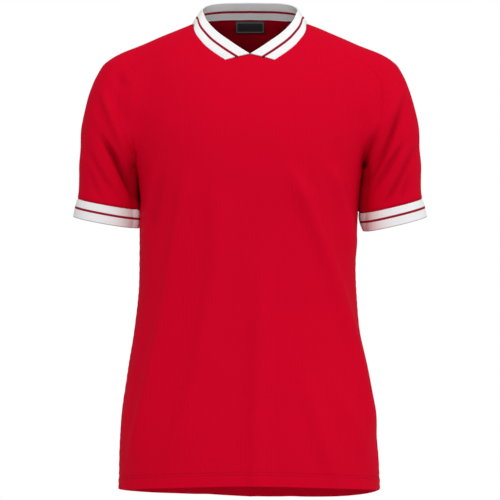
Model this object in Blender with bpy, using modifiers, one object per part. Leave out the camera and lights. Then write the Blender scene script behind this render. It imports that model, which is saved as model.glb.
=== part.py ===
"""Football jersey in its worn shape with nobody in it: a V-neck shirt with saddle sleeves.

Metres, +Z up. The front faces -Y and the wearer's left side is +X. The origin is where the
shoulders carry the shirt: level with the high shoulder points, midway between them.

Every panel is a sheet of cloth laid on one smooth figure, the form that fills the shirt. The
figure is stacked ovals, those of a trunk and those of an arm, blended above the armpit. A panel
is a grid of points between its sewn and free edges. Rays from inside carry the points out to
the figure, folds raise them, and Solidify gives the sheet its wall inwards.
"""

import math

import bpy
import numpy as np

# ---- Driving sizes -------------------------------------------------------------------------
CLOTH = 0.0012  # wall of the knitted cloth
RIB_BAND = 0.0024  # collar and cuffs are rib knit, folded double
SEAM_GAP = 0.0005  # between the two edges of a seam
PARTED_LENGTH = 0.08  # of an armhole seam, from the armpit up
HEM_DEPTH = 0.022  # cloth turned up inside the hem, which doubles the wall
HEM_STEP = 0.004  # height over which the wall goes back to one layer
LABEL_SIZE = (0.046, 0.0175)
LABEL_WALL = 0.001
LABEL_DROP = 0.0035  # from the neck seam to the label's top edge
LABEL_CLEARANCE = 0.0004

# ---- The figure: ovals stacked from the hem to the neck -------------------------------------
TRUNK_COLUMNS = ("level", "half_width", "front", "back", "centre")
TRUNK = (
    (-0.760, 0.2038, 0.150, 0.140, -0.0012),
    (-0.680, 0.2022, 0.148, 0.137, -0.0018),
    (-0.617, 0.1977, 0.145, 0.132, -0.0035),
    (-0.555, 0.1884, 0.141, 0.127, -0.0042),
    (-0.492, 0.1775, 0.137, 0.122, -0.0050),
    (-0.430, 0.1706, 0.134, 0.119, -0.0042),
    (-0.320, 0.1695, 0.135, 0.121, -0.0024),
    (-0.260, 0.1722, 0.138, 0.124, -0.0010),
    (-0.222, 0.1768, 0.139, 0.126, 0.0),
    (-0.160, 0.1900, 0.131, 0.126, 0.0),
    (-0.120, 0.1960, 0.118, 0.120, 0.0),
    (-0.080, 0.1950, 0.100, 0.109, 0.0),
    (-0.056, 0.1850, 0.0865, 0.098, 0.0),
    (-0.040, 0.1700, 0.0775, 0.090, 0.0),
    (-0.025, 0.1440, 0.0695, 0.081, 0.0),
    (-0.009, 0.1100, 0.0605, 0.072, 0.0),
    (0.000, 0.0890, 0.056, 0.066, 0.0),
    (0.010, 0.0775, 0.052, 0.0615, 0.0),
    (0.050, 0.0700, 0.048, 0.052, 0.0),
)
ARM_COLUMNS = ("level", "centre", "half_width", "front", "back")
ARM = (
    (-0.350, 0.2345, 0.0535, 0.061, 0.061),
    (-0.320, 0.2290, 0.0512, 0.060, 0.060),
    (-0.290, 0.2236, 0.0495, 0.059, 0.060),
    (-0.265, 0.2208, 0.0465, 0.060, 0.061),
    (-0.240, 0.2224, 0.0440, 0.062, 0.063),
    (-0.222, 0.2218, 0.0450, 0.064, 0.066),
    (-0.195, 0.2145, 0.0500, 0.067, 0.070),
    (-0.165, 0.2068, 0.0567, 0.068, 0.071),
    (-0.134, 0.1990, 0.0584, 0.066, 0.070),
    (-0.103, 0.1925, 0.0558, 0.062, 0.067),
    (-0.080, 0.1860, 0.0522, 0.054, 0.060),
    (-0.060, 0.1770, 0.0465, 0.044, 0.050),
    (-0.045, 0.1600, 0.0375, 0.033, 0.038),
    (-0.030, 0.1300, 0.0230, 0.024, 0.028),
    (-0.012, 0.0900, 0.0120, 0.016, 0.018),
    (0.000, 0.0600, 0.0080, 0.010, 0.012),
)
OVAL_POWER = 2.3  # 2 is an ellipse, more is squarer
ARMPIT_LEVEL = -0.222
BLEND_REACH = 0.030  # how widely arm and trunk run into each other at the shoulder
BLEND_RISE = 0.09  # height above the armpit over which they come to do so

# ---- Where the sleeve is sewn, on the wearer's left; the right side mirrors it ----------------
# Each row is one ring or strip of the sleeve, from its end to the neck: its seam on the front
# and on the back, which are both the underarm seam up to the armpit, and the ridge opposite.
SLEEVE_COLUMNS = ("along", "front_x", "front_z", "back_x", "back_z", "ridge_x", "ridge_z")
SLEEVE = (
    (-0.10, 0.1781, -0.3205, 0.1781, -0.3205, 0.2755, -0.3000),
    (0.00, 0.1743, -0.2915, 0.1743, -0.2915, 0.2690, -0.2715),
    (0.09, 0.1745, -0.2620, 0.1745, -0.2620, 0.2675, -0.2470),
    (0.20, 0.1768, -0.2220, 0.1768, -0.2220, 0.2665, -0.2150),
    (0.25, 0.1795, -0.2100, 0.1795, -0.2100, 0.2655, -0.2000),
    (0.32, 0.1870, -0.1930, 0.1870, -0.1930, 0.2645, -0.1780),
    (0.40, 0.1960, -0.1690, 0.1960, -0.1690, 0.2620, -0.1450),
    (0.48, 0.2015, -0.1430, 0.2015, -0.1430, 0.2560, -0.1120),
    (0.56, 0.2025, -0.1150, 0.2025, -0.1150, 0.2420, -0.0800),
    (0.63, 0.1985, -0.0900, 0.1985, -0.0930, 0.2200, -0.0550),
    (0.69, 0.1860, -0.0735, 0.1850, -0.0740, 0.1980, -0.0430),
    (0.78, 0.1530, -0.0580, 0.1480, -0.0560, 0.1600, -0.0290),
    (0.89, 0.1150, -0.0395, 0.1050, -0.0290, 0.1220, -0.0140),
    (1.00, 0.0800, -0.0200, 0.0620, 0.0080, 0.0885, 0.0000),
)
ARMPIT_ALONG = 0.20
CUFF_END_ALONG = -0.10
SEAM_MARGIN = 0.02  # how far past its armhole seam a panel is looked for, high above the armpit
MARGIN_RISE = 0.06  # height above the armpit over which that margin grows to its full size
CUFF_DIP_DEG = 3.5  # a cuff hangs lower at the front
UNDERARM_DROP = 0.0028  # by which the left sleeve's underarm hangs lower, and the right one's higher

# ---- Neck, collar and hem; turn is 0 at the centre front, 90 at the side, 180 at the back,
# and less than 0 on the wearer's right
NECK_COLUMNS = ("turn_deg", "level")
NECK = (
    (23.3, -0.0552),
    (33.8, -0.0459),
    (42.4, -0.0359),
    (54.3, -0.0205),
    (67.5, -0.0062),
    (90.0, 0.0003),
    (115.0, 0.0060),
    (140.0, 0.0095),
    (180.0, 0.0110),
)
FRONT_STRAP_TURN, BACK_STRAP_TURN = 54.3, 130.0  # where the saddle strap meets the neck
PEAK_LEVEL = -0.0462  # top of the front panel, between the collar's two ends
COLLAR_COLUMNS = ("turn_deg", "edge_x", "edge_y", "edge_z")  # the collar's free edge
COLLAR = (
    (23.3, 0.0006, -0.0858, -0.0450),
    (28.5, 0.0154, -0.0805, -0.0358),
    (34.5, 0.0296, -0.0735, -0.0258),
    (44.0, 0.0476, -0.0620, -0.0134),
    (56.0, 0.0638, -0.0440, 0.0018),
    (71.0, 0.0722, -0.0255, 0.0150),
    (90.0, 0.0748, -0.0030, 0.0235),
    (115.0, 0.0665, 0.0250, 0.0315),
    (140.0, 0.0480, 0.0415, 0.0358),
    (180.0, 0.0000, 0.0500, 0.0375),
)
HEM_COLUMNS = ("turn_deg", "level")
HEM = (
    (-180.0, -0.7480),
    (-135.0, -0.7395),
    (-90.0, -0.7250),
    (-45.0, -0.7145),
    (0.0, -0.7110),
    (45.0, -0.7155),
    (90.0, -0.7250),
    (135.0, -0.7450),
    (180.0, -0.7480),
)

# ---- Folds: soft ridges along a curve through three places, and how far each spreads ----------
FOLD_COLUMNS = ("x_top", "z_top", "x_mid", "z_mid", "x_low", "z_low", "spread", "height")
FRONT_FOLDS = (
    (-0.086, -0.150, -0.125, -0.400, -0.156, -0.650, 0.016, 0.0046),
    (-0.040, -0.165, -0.058, -0.420, -0.130, -0.735, 0.020, 0.0048),
    (0.011, -0.270, 0.011, -0.550, 0.013, -0.830, 0.014, 0.0042),
    (0.054, -0.155, 0.122, -0.430, 0.194, -0.750, 0.018, 0.0052),
    (0.118, -0.160, 0.150, -0.330, 0.178, -0.520, 0.012, 0.0036),
    (0.246, -0.100, 0.216, -0.200, 0.190, -0.292, 0.008, 0.0042),
    (0.256, -0.160, 0.232, -0.225, 0.208, -0.285, 0.007, 0.0034),
    (-0.243, -0.080, -0.214, -0.185, -0.188, -0.292, 0.009, 0.0046),
    (-0.252, -0.140, -0.228, -0.215, -0.206, -0.285, 0.007, 0.0034),
)
BACK_FOLDS = (
    (-0.096, -0.130, -0.128, -0.420, -0.158, -0.790, 0.019, 0.0052),
    (-0.026, -0.210, -0.045, -0.480, -0.080, -0.860, 0.018, 0.0046),
    (0.036, -0.180, 0.050, -0.470, 0.064, -0.850, 0.018, 0.0050),
    (0.104, -0.140, 0.125, -0.430, 0.166, -0.790, 0.017, 0.0052),
    (0.245, -0.090, 0.214, -0.190, 0.188, -0.290, 0.009, 0.0046),
    (-0.249, -0.100, -0.218, -0.195, -0.190, -0.290, 0.008, 0.0042),
)
FOLD_SWELL = 0.7  # less than 1 lets a fold reach its height sooner from its two ends
FOLD_TURN_DEPTH = 0.03  # depth in front of or behind the sides from which folds have their full height

# ---- How finely the sheets are divided -------------------------------------------------------
PEAK_COLUMNS = 4  # from the peak of the front panel to a corner of the collar
FRONT_HALF_COLUMNS, BACK_HALF_COLUMNS = 14, 13
ROWS_BELOW_ARMPIT, ROWS_ABOVE_ARMPIT = 15, 15
SLEEVE_AROUND = 28
SLEEVE_ROWS_BELOW = 4
CUFF_ROWS = 3
COLLAR_HALF_COLUMNS, COLLAR_ROWS = 28, 4
LABEL_COLUMNS, LABEL_ROWS = 6, 3

# ---- How rays find the skin ------------------------------------------------------------------
RAY_REACH = 0.30  # more than half of the figure's width
RAY_STEPS = 600
RAY_HALVINGS = 24  # of the step in which a ray comes out
PANEL_FAN_START = 0.6  # a panel's rays start this far out from its middle, as a share of its width,
PANEL_FAN_POWER = 1.3  # and swing outwards with this power of their place across it
SLEEVE_STRAP_ALONG = 0.75  # from here to the neck a sleeve's rays start between its two seams
FINE_POINTS = 400  # along a seam that is being measured

RED = (0.62, 0.004, 0.022, 1.0)
WHITE = (0.86, 0.86, 0.87, 1.0)
BLACK = (0.015, 0.015, 0.017, 1.0)

LEFT, RIGHT = 1, -1  # the wearer's sides, along X
FRONT, BACK = -1, 1  # along Y
SMALL = 1e-6


# ---- Reading tables and curves ---------------------------------------------------------------
def read_table(rows, at):
    """The other columns of a table where its first column is `at`, on a smooth curve."""
    table = np.array(rows)
    keys, values = table[:, 0], table[:, 1:]
    slopes = np.gradient(values, keys, axis=0)
    at = np.clip(np.asarray(at, float), keys[0], keys[-1])
    row = np.clip(np.searchsorted(keys, at, side="right") - 1, 0, len(keys) - 2)
    step = (keys[row + 1] - keys[row])[..., None]
    part = (at - keys[row])[..., None] / step
    rise = part * part * (3 - 2 * part)
    leaving = part * (1 - part) ** 2 * step
    arriving = part * part * (part - 1) * step
    return (
        values[row] * (1 - rise)
        + values[row + 1] * rise
        + slopes[row] * leaving
        + slopes[row + 1] * arriving
    )


def evenly_along(points, places, count):
    """Places that divide a line of points into equal lengths, read from the places of its points."""
    steps = np.linalg.norm(np.diff(points, axis=0), axis=1)
    lengths = np.concatenate([[0.0], np.cumsum(steps)])
    return np.interp(np.linspace(0, lengths[-1], count + 1), lengths, places)


# ---- The figure ------------------------------------------------------------------------------
def oval_gap(x, y, half_width, depth):
    """How far (x, y) lies outside an oval about the origin, measured towards its centre."""
    power = np.abs(x / half_width) ** OVAL_POWER + np.abs(y / depth) ** OVAL_POWER
    ratio = np.maximum(power ** (1 / OVAL_POWER), SMALL)
    return np.hypot(x, y) * (1 - 1 / ratio)


def blended(first, second, reach):
    """The smaller of two gaps, rounded where they are within reach of each other."""
    reach = np.maximum(reach, SMALL)
    near = np.maximum(reach - np.abs(first - second), 0) / reach
    return np.minimum(first, second) - near * near * reach / 4


def trunk_gap(points):
    """How far points lie outside the trunk: 0 on it, negative inside."""
    x, y, z = np.moveaxis(points, -1, 0)
    half_width, front, back, centre = np.moveaxis(read_table(TRUNK, z), -1, 0)
    return oval_gap(x - centre, y, half_width, np.where(y < 0, front, back))


def arm_gap(points):
    """How far points lie outside the arm on their own side."""
    x, y, z = np.moveaxis(points, -1, 0)
    middle, half_width, front, back = np.moveaxis(read_table(ARM, z), -1, 0)
    gap = oval_gap(np.abs(x) - middle, y, half_width, np.where(y < 0, front, back))
    return gap + np.maximum(z - ARM[-1][0], 0)


def figure_gap(points):
    """How far points lie outside the figure. Below the armpit, arm and trunk only touch."""
    rise = np.clip((points[..., 2] - ARMPIT_LEVEL) / BLEND_RISE, 0, 1)
    return blended(trunk_gap(points), arm_gap(points), BLEND_REACH * rise)


def first_skin(origins, directions, gap=figure_gap, fence=None, facing=1):
    """Where rays from inside a form first come out of it, or first cross a fence.

    The fence is an x for each ray, crossed outwards where facing is 1 and inwards where it is -1.
    """

    def is_outside(points, fences):
        found = gap(points) > 0
        if fence is None:
            return found
        return found | (facing * (np.abs(points[..., 0]) - fences) > 0)

    fences = np.zeros(1) if fence is None else np.broadcast_to(fence, origins.shape[:-1])
    spans = np.linspace(0, RAY_REACH, RAY_STEPS)
    samples = origins[..., None, :] + directions[..., None, :] * spans[:, None]
    outside = is_outside(samples, fences[..., None])
    outside[..., 0] = False
    after = np.argmax(outside, axis=-1)
    low, high = spans[np.maximum(after - 1, 0)], spans[after]
    for _ in range(RAY_HALVINGS):
        middle = (low + high) / 2
        inside = ~is_outside(origins + directions * middle[..., None], fences)
        low, high = np.where(inside, middle, low), np.where(inside, high, middle)
    return origins + directions * high[..., None]


def figure_normals(points, step=2e-4):
    """Outward directions of the figure's skin."""
    slope = np.stack(
        [
            figure_gap(points + step * axis) - figure_gap(points - step * axis)
            for axis in np.eye(3)
        ],
        axis=-1,
    )
    return slope / np.linalg.norm(slope, axis=-1, keepdims=True)


def skin_at_turn(turn_deg, level):
    """Skin of the figure in a level direction from its axis."""
    turn, level = np.radians(np.asarray(turn_deg, float)), np.asarray(level, float)
    origins = np.stack([np.zeros_like(turn), np.zeros_like(turn), level], axis=-1)
    directions = np.stack([np.sin(turn), -np.cos(turn), np.zeros_like(turn)], axis=-1)
    return first_skin(origins, directions)


# ---- Folds -----------------------------------------------------------------------------------
def fold_height(points, fold):
    """Height of one fold over points: a rounded ridge along its curve, from nothing at its ends."""
    x_top, z_top, x_mid, z_mid, x_low, z_low, spread, height = fold
    part = (z_top - points[..., 2]) / (z_top - z_low)
    middle = (z_top - z_mid) / (z_top - z_low)
    held = np.clip(part, 0, 1)
    bow = (x_mid - x_top - (x_low - x_top) * middle) / (middle * (1 - middle))
    line = x_top + (x_low - x_top) * held + bow * held * (1 - held)
    lean = math.hypot(x_low - x_top, z_low - z_top) / (z_top - z_low)
    off = (points[..., 0] - line) / (lean * spread)
    swell = (4 * held * (1 - held)) ** FOLD_SWELL
    return height * swell * np.exp(-0.5 * off * off)


def folded(points):
    """Points of the skin, raised by the folds of the front or the back."""
    raised = np.zeros(points.shape[:-1])
    for facing, folds in ((FRONT, FRONT_FOLDS), (BACK, BACK_FOLDS)):
        turned = np.clip(facing * points[..., 1] / FOLD_TURN_DEPTH, 0, 1)
        for fold in folds:
            raised = raised + fold_height(points, fold) * turned
    return points + figure_normals(points) * raised[..., None]


# ---- Seams and edges -------------------------------------------------------------------------
def neck_points(turns):
    """The neck seam at these turns."""
    return skin_at_turn(turns, read_table(NECK, turns)[..., 0])


def neck_turns(first, last, count):
    """Turns that space the neck seam evenly between two turns."""
    turns = np.linspace(first, last, FINE_POINTS)
    return evenly_along(neck_points(turns), turns, count)


def side_points(levels):
    """The side seam on the wearer's left."""
    half_width, _, _, centre = np.moveaxis(read_table(TRUNK, levels), -1, 0)
    return np.stack([centre + half_width, np.zeros_like(levels), levels], axis=-1)


def seam_points(along, facing, side=LEFT):
    """Skin under a sleeve's front or back seam at places along it, mirrored to the left."""
    row = read_table(SLEEVE, along)
    x, z = (row[:, 0], row[:, 1]) if facing == FRONT else (row[:, 2], row[:, 3])
    z = z - side * UNDERARM_DROP * np.clip(1 - along / ARMPIT_ALONG, 0, 1)
    origins = np.stack([x, np.zeros_like(x), z], axis=-1)
    skin = first_skin(origins, np.tile((0.0, float(facing), 0.0), (len(x), 1)))
    under = along < ARMPIT_ALONG + SMALL
    skin[under] = origins[under]
    turn = FRONT_STRAP_TURN if facing == FRONT else BACK_STRAP_TURN
    skin[along > 1 - SMALL] = neck_points(np.array([turn]))
    return skin


def armhole_rows():
    """Places along the sleeve from the armpit to the neck, evenly spaced along the front seam."""
    along = np.linspace(ARMPIT_ALONG, 1.0, FINE_POINTS)
    return evenly_along(seam_points(along, FRONT), along, ROWS_ABOVE_ARMPIT)


def mirrored_line(half):
    """A line from the middle outwards, made whole by its mirror image."""
    return np.concatenate([half[:0:-1] * (-1, 1, 1), half])


def top_edge(facing):
    """Neck edge of the front or back panel from the wearer's right to the left."""
    if facing == BACK:
        return mirrored_line(neck_points(neck_turns(180.0, BACK_STRAP_TURN, BACK_HALF_COLUMNS)))
    corner_turn, corner_level = NECK[0]
    turns = neck_turns(corner_turn, FRONT_STRAP_TURN, FRONT_HALF_COLUMNS - PEAK_COLUMNS)
    peak_turns = np.linspace(0, corner_turn, PEAK_COLUMNS + 1)
    peak_levels = np.linspace(PEAK_LEVEL, corner_level, PEAK_COLUMNS + 1)
    half = np.concatenate([skin_at_turn(peak_turns, peak_levels), neck_points(turns)[1:]])
    return mirrored_line(half)


# ---- Front and back as grids of points -------------------------------------------------------
def side_levels():
    """Heights of the side seam's points, with rows at the hem fold and its step."""
    hem = read_table(HEM, 90.0)[0]
    above = np.linspace(hem + HEM_DEPTH + HEM_STEP, ARMPIT_LEVEL, ROWS_BELOW_ARMPIT - 1)
    return np.concatenate([[hem, hem + HEM_DEPTH], above])


def height_shares(edge, rows_below):
    """How far each row of a panel is from the hem, 0, to the neck, 1, as it takes on their curves."""
    rows = len(edge)
    climbed = (edge[:rows_below, 2] - edge[0, 2]) / (ARMPIT_LEVEL - edge[0, 2])
    above = np.arange(rows_below + 1, rows + 1)
    return np.concatenate([climbed * rows_below, above])[:, None] / rows


def hem_levels(across, facing):
    """Height of the hem at places across a panel, from -1 at the right to 1 at the left."""
    turns = across * 90
    if facing == BACK:
        turns = np.where(across < 0, -180.0, 180.0) - turns
    return read_table(HEM, turns)[..., 0]


def panel_rays(edge, place, level, rise, facing):
    """Rays that fan out from the shirt's middle plane to a panel's points."""
    start = (PANEL_FAN_START + (1 - PANEL_FAN_START) * rise) * edge[:, 0]
    swing = np.arctan2(edge[:, 0] - start, np.abs(edge[:, 1]))[:, None]
    angle = swing * np.sign(place) * np.abs(place) ** PANEL_FAN_POWER
    origins = np.stack([place * start[:, None], np.zeros_like(level), level], axis=-1)
    directions = np.stack([np.sin(angle), facing * np.cos(angle), np.zeros_like(angle)], axis=-1)
    return origins, directions


def right_edge(edge):
    """The panel's other side: mirrored, and moved as far as the trunk leans to one side."""
    lean = np.zeros_like(edge)
    lean[:, 0] = 2 * read_table(TRUNK, edge[:, 2])[:, 3]
    return edge * (-1, 1, 1) + lean


def trunk_panel(facing):
    """Grid of the front or the back: rows from hem to neck, columns from right to left."""
    levels = side_levels()
    edge = np.concatenate([side_points(levels), seam_points(armhole_rows()[1:], facing)])
    top = top_edge(facing)
    across = np.linspace(-1, 1, len(top))
    share = height_shares(edge, len(levels))
    level = (1 - share) * hem_levels(across, facing) + share * top[:, 2]
    level = level + edge[:, 2:] - level[:, -1:]
    place = (1 - share**2) * across + share**2 * top[:, 0] / top[-1, 0]
    rise = np.clip((edge[:, 2] - ARMPIT_LEVEL) / MARGIN_RISE, 0, 1)
    origins, directions = panel_rays(edge, place, level, rise, facing)
    skin = first_skin(origins, directions, gap=trunk_gap)
    sewn = slice(len(levels), len(edge))
    fence = (edge[sewn, 0] + SEAM_MARGIN * rise[sewn])[:, None]
    skin[sewn] = first_skin(origins[sewn], directions[sewn], fence=fence)
    skin[:, 0], skin[:, -1], skin[-1] = right_edge(edge), edge, top
    return folded(skin)


# ---- Sleeves and cuffs as grids of points ----------------------------------------------------
def unit(vectors):
    """Vectors brought to length 1."""
    return vectors / np.linalg.norm(vectors, axis=-1, keepdims=True)


def sleeve_frames(along, front, back):
    """Middle of each ring or strip of a sleeve, and its forward and upward directions."""
    row = read_table(SLEEVE, along)
    ridge = np.stack([row[:, 4], np.zeros(len(row)), row[:, 5]], axis=-1)
    base = (front + back) / 2 * (1, 0, 1)
    strap = np.clip((along - ARMPIT_ALONG) / (SLEEVE_STRAP_ALONG - ARMPIT_ALONG), 0, 1)
    centre = base + (ridge - base) * 0.5 * (1 - strap[:, None])
    dip = np.radians(CUFF_DIP_DEG) * np.clip(1 - along / ARMPIT_ALONG, 0, 1)
    level_forward = np.stack([np.zeros_like(dip), -np.cos(dip), -np.sin(dip)], axis=-1)
    sewn = (along > ARMPIT_ALONG)[:, None]
    forward = unit(np.where(sewn, front - back, level_forward))
    upward = ridge - centre
    upward = unit(upward - forward * (upward * forward).sum(axis=1, keepdims=True))
    return centre, forward, upward


def sweep_angle(points, centre, forward, upward):
    """Angle of points about a sleeve's middle, from forward towards upward."""
    off = points - centre
    return np.arctan2((off * upward).sum(axis=1), (off * forward).sum(axis=1))


def sleeve_rows(along, side):
    """Grid of a sleeve at these places, mirrored to the left: columns from front to back."""
    front, back = seam_points(along, FRONT, side), seam_points(along, BACK, side)
    centre, forward, upward = sleeve_frames(along, front, back)
    first = sweep_angle(front, centre, forward, upward)
    last = np.mod(sweep_angle(back, centre, forward, upward), 2 * math.pi)
    sewn = along > ARMPIT_ALONG
    last = np.where(sewn, last, first + 2 * math.pi)
    shares = np.linspace(0, 1, SLEEVE_AROUND + 1)
    sweep = (first[:, None] + (last - first)[:, None] * shares)[..., None]
    directions = np.cos(sweep) * forward[:, None] + np.sin(sweep) * upward[:, None]
    origins = np.broadcast_to(centre[:, None], directions.shape)
    skin = first_skin(origins, directions, gap=arm_gap)
    rise = np.clip((centre[sewn, 2] - ARMPIT_LEVEL) / MARGIN_RISE, 0, 1)
    fence = ((front + back)[sewn, 0] / 2 - SEAM_MARGIN * rise)[:, None]
    skin[sewn] = first_skin(origins[sewn], directions[sewn], fence=fence, facing=-1)
    skin[:, 0], skin[:, -1] = front, back
    return skin


def sleeve_grid(side):
    """The sleeve from its cuff seam to the neck, rings up to the armpit and strips above."""
    below = np.linspace(0.0, ARMPIT_ALONG, SLEEVE_ROWS_BELOW + 1)
    skin = sleeve_rows(np.concatenate([below, armhole_rows()[1:]]), side)
    skin[-1] = neck_points(neck_turns(FRONT_STRAP_TURN, BACK_STRAP_TURN, SLEEVE_AROUND))
    return folded(skin * (side, 1, 1)) * (side, 1, 1)


def cuff_grid(side):
    """A cuff from its free end to the sleeve, mirrored to the left."""
    return sleeve_rows(np.linspace(CUFF_END_ALONG, 0.0, CUFF_ROWS + 1), side)


# ---- Collar and label as grids of points -----------------------------------------------------
def collar_grid():
    """The collar from the neck seam to its free edge, between its two ends in front."""
    turns = neck_turns(NECK[0][0], 180.0, COLLAR_HALF_COLUMNS)
    seam, edge = neck_points(turns), read_table(COLLAR, turns)
    share = np.linspace(0, 1, COLLAR_ROWS + 1)[:, None, None]
    return np.stack([mirrored_line(row[::-1]) for row in seam * (1 - share) + edge * share])


def label_grid():
    """Inside of the back panel under the neck seam, where the label is sewn."""
    width, height = LABEL_SIZE
    top = NECK[-1][1] - LABEL_DROP
    x, z = np.meshgrid(
        np.linspace(-width / 2, width / 2, LABEL_COLUMNS + 1),
        np.linspace(top - height, top, LABEL_ROWS + 1),
    )
    origins = np.stack([x, np.zeros_like(x), z], axis=-1)
    skin = first_skin(origins, np.broadcast_to((0.0, 1.0, 0.0), origins.shape))
    return skin - figure_normals(skin) * (CLOTH + LABEL_CLEARANCE)


# ---- Seam gaps -------------------------------------------------------------------------------
# Each edge of a grid, with the line of points next to it.
LOWER, UPPER = (np.s_[0], np.s_[1]), (np.s_[-1], np.s_[-2])
START, END = (np.s_[:, 0], np.s_[:, 1]), (np.s_[:, -1], np.s_[:, -2])


def drawn_in(grid, *edges):
    """The grid with these edges moved half a seam gap towards the next points."""
    moved = grid.copy()
    for edge, inner in edges:
        moved[edge] += unit(grid[inner] - grid[edge]) * SEAM_GAP / 2
    return moved


def parted(edge, direction):
    """An armhole edge moved along X where it nears the armpit and the cloths lie side by side."""
    near = np.clip(1 - np.abs(edge[:, 2] - ARMPIT_LEVEL) / PARTED_LENGTH, 0, 1)
    return edge + np.outer(near, (direction * SEAM_GAP / 2, 0, 0))


# ---- Blender objects -------------------------------------------------------------------------
def cloth_material(name, colour, roughness):
    """A plain finish."""
    material = bpy.data.materials.new(name)
    material.use_nodes = True
    shader = material.node_tree.nodes["Principled BSDF"]
    shader.inputs["Base Color"].default_value = colour
    shader.inputs["Roughness"].default_value = roughness
    material.diffuse_color = colour
    return material


def jersey():
    """The collection that holds the pieces."""
    found = bpy.data.collections.get("football_jersey")
    if found is None:
        found = bpy.data.collections.new("football_jersey")
        bpy.context.scene.collection.children.link(found)
    return found


def sheet_object(name, grid, material, wall, closed_rows=0, inside_out=False):
    """A sheet through a grid of points; its first closed_rows rows are rings.

    A ring's last point is its first, so the sheet is a tube there.
    """
    rows, columns = grid.shape[:2]
    numbers = np.arange(rows * columns).reshape(rows, columns)
    numbers[:closed_rows, -1] = numbers[:closed_rows, 0]
    corners = (numbers[:-1, :-1], numbers[:-1, 1:], numbers[1:, 1:], numbers[1:, :-1])
    quads = np.stack(corners, axis=-1).reshape(-1, 4)
    if inside_out:
        quads = quads[:, ::-1]
    used, quads = np.unique(quads, return_inverse=True)  # leaves out a ring's spare last point
    mesh = bpy.data.meshes.new(name)
    mesh.from_pydata(grid.reshape(-1, 3)[used].tolist(), [], quads.reshape(-1, 4).tolist())
    mesh.shade_smooth()
    mesh.materials.append(material)
    made = bpy.data.objects.new(name, mesh)
    solidify = made.modifiers.new("Wall", "SOLIDIFY")
    solidify.thickness = wall
    solidify.offset = -1
    jersey().objects.link(made)
    return made


def double_hem(panel, columns):
    """Gives a panel's two lowest rows a double wall, where the hem is turned up."""
    group = panel.vertex_groups.new(name="Hem")
    group.add(list(range(2 * columns)), 1.0, "REPLACE")
    solidify = panel.modifiers["Wall"]
    solidify.vertex_group = group.name
    solidify.thickness = 2 * CLOTH
    solidify.thickness_vertex_group = 0.5


def make_trunk(red):
    """Front and back."""
    for name, facing in (("front", FRONT), ("back", BACK)):
        grid = drawn_in(trunk_panel(facing), UPPER, START, END)
        grid[:, 0] = parted(grid[:, 0], 1)
        grid[:, -1] = parted(grid[:, -1], -1)
        panel = sheet_object(name, grid, red, CLOTH, inside_out=facing == BACK)
        double_hem(panel, grid.shape[1])


def make_arm(side, red, white):
    """Sleeve and cuff on one side."""
    word = "left" if side == LEFT else "right"
    mirror = np.array((side, 1, 1))
    sleeve = drawn_in(sleeve_grid(side), LOWER, UPPER)
    above = SLEEVE_ROWS_BELOW + 1
    sleeve[above:] = drawn_in(sleeve[above:], START, END)
    sleeve[:, 0] = parted(sleeve[:, 0], 1)
    sleeve[:, -1] = parted(sleeve[:, -1], 1)
    sheet_object(f"sleeve_{word}", sleeve * mirror, red, CLOTH, above, side == RIGHT)
    cuff = drawn_in(cuff_grid(side), UPPER)
    sheet_object(f"cuff_{word}", cuff * mirror, white, RIB_BAND, CUFF_ROWS + 1, side == RIGHT)


def make_collar(white):
    """The V-neck band."""
    grid = drawn_in(collar_grid(), LOWER, START, END)
    sheet_object("collar", grid, white, RIB_BAND, inside_out=True)


def make_label(black):
    """The woven label inside the back."""
    sheet_object("neck_label", label_grid(), black, LABEL_WALL, inside_out=True)


def main():
    """Builds the jersey in an empty scene."""
    for found in list(bpy.data.objects):
        bpy.data.objects.remove(found)
    red = cloth_material("Red_Knit", RED, 0.75)
    white = cloth_material("White_Rib", WHITE, 0.8)
    black = cloth_material("Black_Label", BLACK, 0.6)
    make_trunk(red)
    for side in (LEFT, RIGHT):
        make_arm(side, red, white)
    make_collar(white)
    make_label(black)


main()
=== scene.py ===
"""Looks of a football jersey: ribbed knit panels, rib collar and cuffs, sewing and label.

Metres, +Z up, in the frame of the solids: the front faces -Y, and the wearer's left side is +X.
Every cloth is a grid of points laid on the smooth figure that fills the shirt. Folds raise it,
seams sink it, and Solidify gives it its wall inwards. Each grid also carries its own chart, how
far every point lies along and up the flat cloth, which the knit and the coloured lines follow.
"""

import logging
import math
from collections.abc import Callable
from dataclasses import dataclass, field
from enum import Enum
from functools import cache

import bpy
import numpy as np
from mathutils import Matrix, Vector


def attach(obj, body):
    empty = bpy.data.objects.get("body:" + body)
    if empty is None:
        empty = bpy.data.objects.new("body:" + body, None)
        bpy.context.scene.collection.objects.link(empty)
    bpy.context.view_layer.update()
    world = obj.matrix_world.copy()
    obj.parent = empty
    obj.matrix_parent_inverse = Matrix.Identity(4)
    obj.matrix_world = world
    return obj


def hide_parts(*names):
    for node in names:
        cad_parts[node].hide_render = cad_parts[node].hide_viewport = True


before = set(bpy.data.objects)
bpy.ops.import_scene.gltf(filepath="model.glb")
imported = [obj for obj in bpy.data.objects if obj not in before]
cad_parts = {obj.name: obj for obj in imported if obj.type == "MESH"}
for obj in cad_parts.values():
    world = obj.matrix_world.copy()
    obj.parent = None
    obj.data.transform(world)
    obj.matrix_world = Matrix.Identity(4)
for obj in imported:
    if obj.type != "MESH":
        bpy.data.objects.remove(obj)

Array = np.ndarray
Gap = Callable[[Array], Array]
Row = tuple[float, ...]
Pair = tuple[float, float]
Colour = tuple[float, float, float]
Socket = bpy.types.NodeSocket
Piece = bpy.types.Object

log = logging.getLogger("jersey")

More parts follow.
